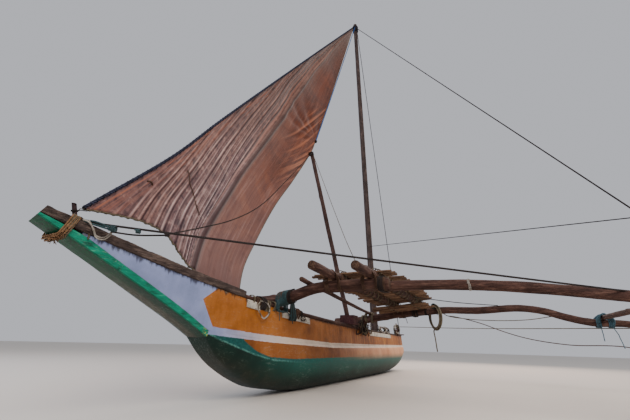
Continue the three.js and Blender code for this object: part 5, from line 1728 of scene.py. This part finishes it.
def teal_bunch():
    """Ropes from the near boom down to the board, and the turns on the boom that they end in."""
    z, r = boom_at("near_boom_inner", 0.330)
    ropes = []
    for n in range(11):
        across = 0.150 * (n / 10) + 0.010 * wobble((n, 3, 1), 1, 3)
        out = 0.012 * wobble((n, 1, 5), 1, 4)
        points = [(1.845, 0.318 + out, z), (1.800, 0.330 + out, z + r + 0.007),
                  (1.735, 0.332 + out, z + r * 0.75 + 0.006), (1.708 - across * 0.35, 0.322 + out, z - 0.030),
                  (1.640 - across * 0.75, 0.272 + out, 0.900), (1.578 - across, 0.236 + 0.4 * out, 0.800),
                  (1.574 - across, 0.224, 0.776)]
        ropes.append((through(points, 0.016), 0.0062, 0 if n % 4 else 1))

    def around(s):
        return [(NEAR_BOOM_X, *boom_at("near_boom_inner", s))]
    for start, end, turns, radius, seed, material in BUNCH_WRAPS:
        line = winding(around, xz, start, end, turns, radius, seed, seed % 2, 1.4, 26, 0.010)
        ropes.append((line, radius, material))
    return ropes


rope_piece("boom_root_turns", [TEAL_ROPE, DARK_ROPE, BROWN_ROPE], teal_bunch())
AFT_BUNCHES = [  # x, z, half width, half height, rings
    (-2.45, 0.868, 0.22, 0.060, 6), (-2.82, 0.872, 0.15, 0.064, 5), (-3.72, 0.940, 0.23, 0.092, 9)]


def far_tangle():
    """Loose turns and loops where the far boom crosses the planks, and wound rope towards the stern."""
    ropes = []
    draw = random.Random(17)
    for n in range(13):
        x, z = draw.uniform(-1.42, -0.72), draw.uniform(0.790, 0.880)
        wide, tall = draw.uniform(0.05, 0.17), draw.uniform(0.050, 0.115)
        ring = [(x + wide * math.cos(a), 0.245 + 0.016 * math.cos(2 * a + n), z + tall * math.sin(a))
                for a in OVAL_ANGLES]
        ropes.extend((line, 0.0066, n % 3) for line in rough_ring(ring, n, 1, 0.05))
    for x, z, wide, tall, count in AFT_BUNCHES:
        for n in range(count):
            ring = [(x + wide * math.cos(a), 0.178 + 0.022 * math.sin(a + n),
                     z + tall * math.sin(a) * (0.6 + 0.1 * n)) for a in OVAL_ANGLES]
            ropes.extend((line, 0.0092, 3 if n % 2 else n % 3) for line in rough_ring(ring, n + 40, 1, 0.05))
    return ropes


rope_piece("aft_tangle", [DARK_ROPE, OLD_ROPE, BROWN_ROPE, PALE_ROPE], far_tangle())

# A belaying stick across the planks aft, and a short upright that the aft line is made fast to
AFT_STICKS = [([(-3.62, 0.235, 0.818), (-3.95, 0.240, 0.822), (-4.20, 0.236, 0.830)], 0.014),
              ([(-3.78, 0.176, 0.790), (-3.77, 0.178, 0.900), (-3.755, 0.180, 1.020)], 0.022)]
built = Builder()
for points, radius in AFT_STICKS:
    built.rings(tube_rings(through(points, 0.03), radius, 10, lambda i, a: 0.96 + 0.08 * math.sin(3 * a + i)))
built.object("aft_sticks", [SPAR_WOOD])


# Lashings where the platform's logs and pole cross the booms
CROSSINGS = [  # log, log radius, boom, turns, radius, material
    ("platform_log_1", LOG_RADIUS, "near_boom_inner", 5, 0.0052, 0),
    ("platform_log_2", LOG_RADIUS, "near_boom_inner", 4, 0.0046, 0),
    ("platform_log_1", LOG_RADIUS, "far_boom_inner", 4, 0.0058, 0),
    ("platform_log_2", LOG_RADIUS, "far_boom_inner", 4, 0.0058, 1),
    ("platform_pole", THIN_POLE_RADIUS, "far_boom_inner", 5, 0.0055, 2)]
ropes = []
for number, (log, log_radius, boom, turns, radius, material) in enumerate(CROSSINGS):
    ropes.append((cross_lashing(log, log_radius, boom, turns, radius), radius, material))
    if boom == "far_boom_inner":
        x, y, _ = LAID[log](boom_x(boom))
        z, r = boom_at(boom, y)
        loose = tail((x - r, y + 0.05, z - 0.01), (-0.3, 0.6, -0.4), 0.12 + 0.02 * number, 1.3, 90 + number)
        ropes.append((loose, radius * 0.8, material))
rope_piece("platform_turns", [BROWN_ROPE, DARK_ROPE, OLD_ROPE], ropes)


def low_battens():
    """Round battens slung under the two logs, just ahead of the far boom. Returns their ties."""
    built = Builder()
    ties = []
    draw = random.Random(29)
    for n, x in enumerate((-0.855, -0.770, -0.675, -0.590, -0.480, -0.350)):
        r = draw.uniform(0.017, 0.024)
        ends = [LAID[log](x) for log in ("platform_log_1", "platform_log_2")]
        drop = LOG_RADIUS + r - 0.002
        low, high = draw.uniform(0.56, 0.68), draw.uniform(1.44, 1.56)
        slope = (ends[1][2] - ends[0][2]) / (ends[1][1] - ends[0][1])
        line = [(x + 0.010 * wobble((x, y, 4), 3, n), y,
                 ends[0][2] + slope * (y - ends[0][1]) - drop + 0.004 * wobble((x, y, 7), 4, n))
                for y in np.linspace(low, high, 22)]
        rings = tube_rings(line, r, 10, lambda i, a: 0.95 + 0.08 * math.sin(2 * a + n + i * 0.4))
        built.rings(rings, cap_slot=1)
        for (_, y, z), seed in zip(ends, (n, n + 9)):
            circles = [(y, z, LOG_RADIUS), (y, z - drop, r)]
            tie = winding(lambda _: circles, yz, x + 0.016, x - 0.016, 3, 0.0048, seed, 0, 1.6, 22, 0.010)
            ties.append((tie, 0.0048, seed % 2))
    built.object("low_battens", [SLAT_WOOD, END_WOOD])
    return ties


def batten_ties():
    """Short turns that tie the battens down to the two logs."""
    ropes = []
    for log in ("platform_log_1", "platform_log_2"):
        for n, x in enumerate(np.arange(1.605, -0.93, -0.085)):
            _, y, z = LAID[log](x)
            circles = [(y + 0.004 * (n % 3), z, LOG_RADIUS), (y - 0.012 + 0.006 * (n % 4), z + 0.068, 0.030)]
            if n % 5 != 3:
                tie = winding(lambda _: circles, yz, x, x - 0.020, 2, 0.0045, n + 7, n % 2, 1.8, 22, 0.012)
                ropes.append((tie, 0.0045, n % 2))
    return ropes


rope_piece("batten_turns", [OLD_ROPE, BROWN_ROPE], batten_ties() + low_battens())


# Fittings of the prow: the pale loop, the teal rope along the guy and the tie between peg and sail
guy_way = GUY_END - GUY_START
block = np.array([3.853, 0.211, 1.190])
guy_hitch = (3.651, 0.500, 1.172)
PALE_LOOP = [(4.000, 0.060, 1.232), (3.960, 0.125, 1.213), (3.915, 0.130, 1.160), (3.895, 0.129, 1.129),
             (3.862, 0.130, 1.122), (3.832, 0.130, 1.134), (3.811, 0.140, 1.172), (3.823, 0.165, 1.205),
             (3.850, 0.200, 1.200)]
GUY_KNOTS = [  # middle, radius, rope's radius, turns
    (block, 0.0125, 0.0060, 4), (block + unit(guy_way) * 0.010, 0.0185, 0.0055, 3),
    (np.array([3.759, 0.346, 1.183]), 0.0120, 0.0050, 3)]
ropes = [(through(PALE_LOOP, 0.012), 0.0052, 0),
         (through([np.array(p) + (0.006, 0.004, 0.012) for p in PALE_LOOP[1:-1]], 0.012), 0.0040, 0)]
for n in range(4):
    start = np.array([3.985 - 0.010 * n, 0.050 + 0.006 * n, 1.236 + 0.008 * math.sin(2 * n)])
    middle = np.array([3.924, 0.109 + 0.006 * n, 1.216 + 0.012 * math.cos(2 * n)])
    ropes.append((through([start, middle, block + (0, 0, 0.012 * math.sin(2.2 * n))], 0.014), 0.0058, 1))
for centre, radius, rope_radius, turns in GUY_KNOTS:
    ropes.append((knot(centre, guy_way, radius, rope_radius, turns), rope_radius, 1))
second = [block + (-0.004, 0.0, -0.022), (3.760, 0.330, 1.158), (3.651, 0.500, 1.168)]
ropes.append((through(second, 0.02), 0.0060, 2))
ropes.append((knot(guy_hitch, guy_way, 0.0110, 0.0045, 3), 0.0045, 2))
rope_piece("prow_loops", [PALE_ROPE, TEAL_ROPE, DARK_ROPE], ropes)

peg_top = np.array([PEG_AT[0] + PEG_LEAN * (1.286 - PEG_FOOT_Z), PEG_AT[1], 1.286])
tack = np.array(SAIL_TACK)
between = (peg_top + tack) / 2
TACK_TIES = [[peg_top + (-0.018, 0.012, 0.004), between + (0, 0.006, 0.006), tack + (-0.02, 0.004, 0.004)],
             [peg_top + (-0.018, -0.012, -0.006), between + (0, -0.006, -0.004), tack + (-0.03, 0, -0.004)]]
rope_piece("tack_tie", [DARK_ROPE], [(knot(peg_top, (PEG_LEAN, 0, 1), 0.0185, 0.0028, 2), 0.0028, 0),
                                             *((through(points, 0.01), 0.0030, 0) for points in TACK_TIES)])


# Thin running lines.
SLACK_LINE = [(3.651, 0.500, 1.174), (3.335, 0.449, 1.330), (2.921, 0.382, 1.550), (2.431, 0.302, 1.896),
              (1.769, 0.195, 2.554), (0.845, 0.075, 3.560)]
STERN_EYE = (-3.900, 0.205, 0.815)
masthead_at = mast_point(MAST_LENGTH - 0.150)
leech_tie = on_sail(1.0, 0.386, 0.012)
rope_piece("slack_line", [DARK_ROPE],
           [(through(SLACK_LINE, 0.05), 0.0052, 0),
            (knot((0.845, 0.046, 3.530), SPAR_TIP - SPAR_FOOT, 0.038, 0.0055, 5), 0.0055, 0)], sides=7)
rope_piece("halyard_line", [BLUE_ROPE, DARK_ROPE],
           [(sagging(masthead_at + (0.064, 0.012, 0), leech_tie, 0.03), 0.0085, 0),
            (knot(leech_tie, masthead_at - leech_tie, 0.016, 0.006, 4), 0.006, 1)], sides=7, blend=SAIL_BLEND)
rope_piece("back_stay_line", [DARK_ROPE],
           [(sagging(masthead_at + (-0.055, 0.030, 0), STERN_EYE), 0.0080, 0)], sides=7,
           blend=(STERN_EYE, masthead_at))
THIN_LINES = [  # points, radius, material
    ([(0.845, 0.085, 3.500), (1.217, 0.700, 2.090), (1.560, 1.000, 1.560), (1.780, 1.225, 1.190)], 0.0040, 1),
    ([(0.059, 1.400, 1.199), (-0.520, 1.930, 1.172), (-1.060, 2.478, 1.172)], 0.0058, 0),
    ([(-1.095, 1.600, 1.110), (-1.140, 1.680, 1.040), (-1.145, 2.011, 0.978), (-1.145, 2.470, 0.950),
      (-1.145, 2.877, 0.962), (-1.145, 3.200, 1.010)], 0.0062, 1),
    ([(-1.150, 1.700, 1.032), (-1.150, 1.817, 1.016), (-1.150, 2.179, 0.914), (-1.150, 2.511, 0.780),
      (-1.150, 2.824, 0.684), (-1.150, 3.299, 0.611), (-1.150, 3.954, 0.594), (-1.150, 4.700, 0.365)],
     0.0066, 2),
    ([(-3.760, 0.205, 1.005), (-2.450, 2.080, 0.900), (-1.095, 4.010, 0.835)], 0.0068, 1)]
boom_ring_at = (NEAR_OUTER_X, 2.220, boom_at("near_boom_outer", 2.220)[0])
rope_piece("thin_lines", [DARK_ROPE, OLD_ROPE, BROWN_ROPE, PALE_ROPE],
           [*((through(points, 0.06), radius, material) for points, radius, material in THIN_LINES),
            (knot(boom_ring_at, (0, 1, 0.03), 0.0535, 0.0035, 3), 0.0035, 3),
            (knot((-3.757, 0.180, 1.000), (0.05, 0, 1), 0.0270, 0.0060, 5), 0.0060, 1)], sides=7)


# Light, floor and sky
LAMPS = [  # name, place, aim, size, power, colour
    ("key", (9, 9, 9), (0, 0.5, 1.5), 7, 1500, rgb(255, 244, 232)),
    ("fill", (8, -8, 6), (1, 0, 1.5), 8, 700, rgb(226, 234, 255)),
    ("back", (-9, 2, 7), (0, 1, 2), 7, 800, rgb(255, 230, 214))]
FLOOR_REACH, FLOOR_Z = 60, -0.002


def make_stage():
    mesh = bpy.data.meshes.new("floor")
    corners = [(x * FLOOR_REACH, y * FLOOR_REACH, FLOOR_Z) for x, y in ((-1, -1), (1, -1), (1, 1), (-1, 1))]
    mesh.from_pydata(corners, [], [(0, 1, 2, 3)])
    mesh.materials.append(Shade("floor_paint", 0.85, 0.2).finish(rgb(214, 208, 200)))
    linked("floor", mesh)
    world = bpy.data.worlds.new("studio")
    world.use_nodes = True
    background = world.node_tree.nodes["Background"]
    background.inputs[0].default_value = rgb(222, 224, 232)
    background.inputs[1].default_value = 0.75
    bpy.context.scene.world = world
    for name, at, aim, size, power, colour in LAMPS:
        data = bpy.data.lights.new(name, "AREA")
        data.size, data.energy, data.color = size, power, colour[:3]
        light = linked(name, data)
        light.location = at
        light.rotation_euler = (Vector(aim) - Vector(at)).to_track_quat("-Z", "Y").to_euler()


make_stage()
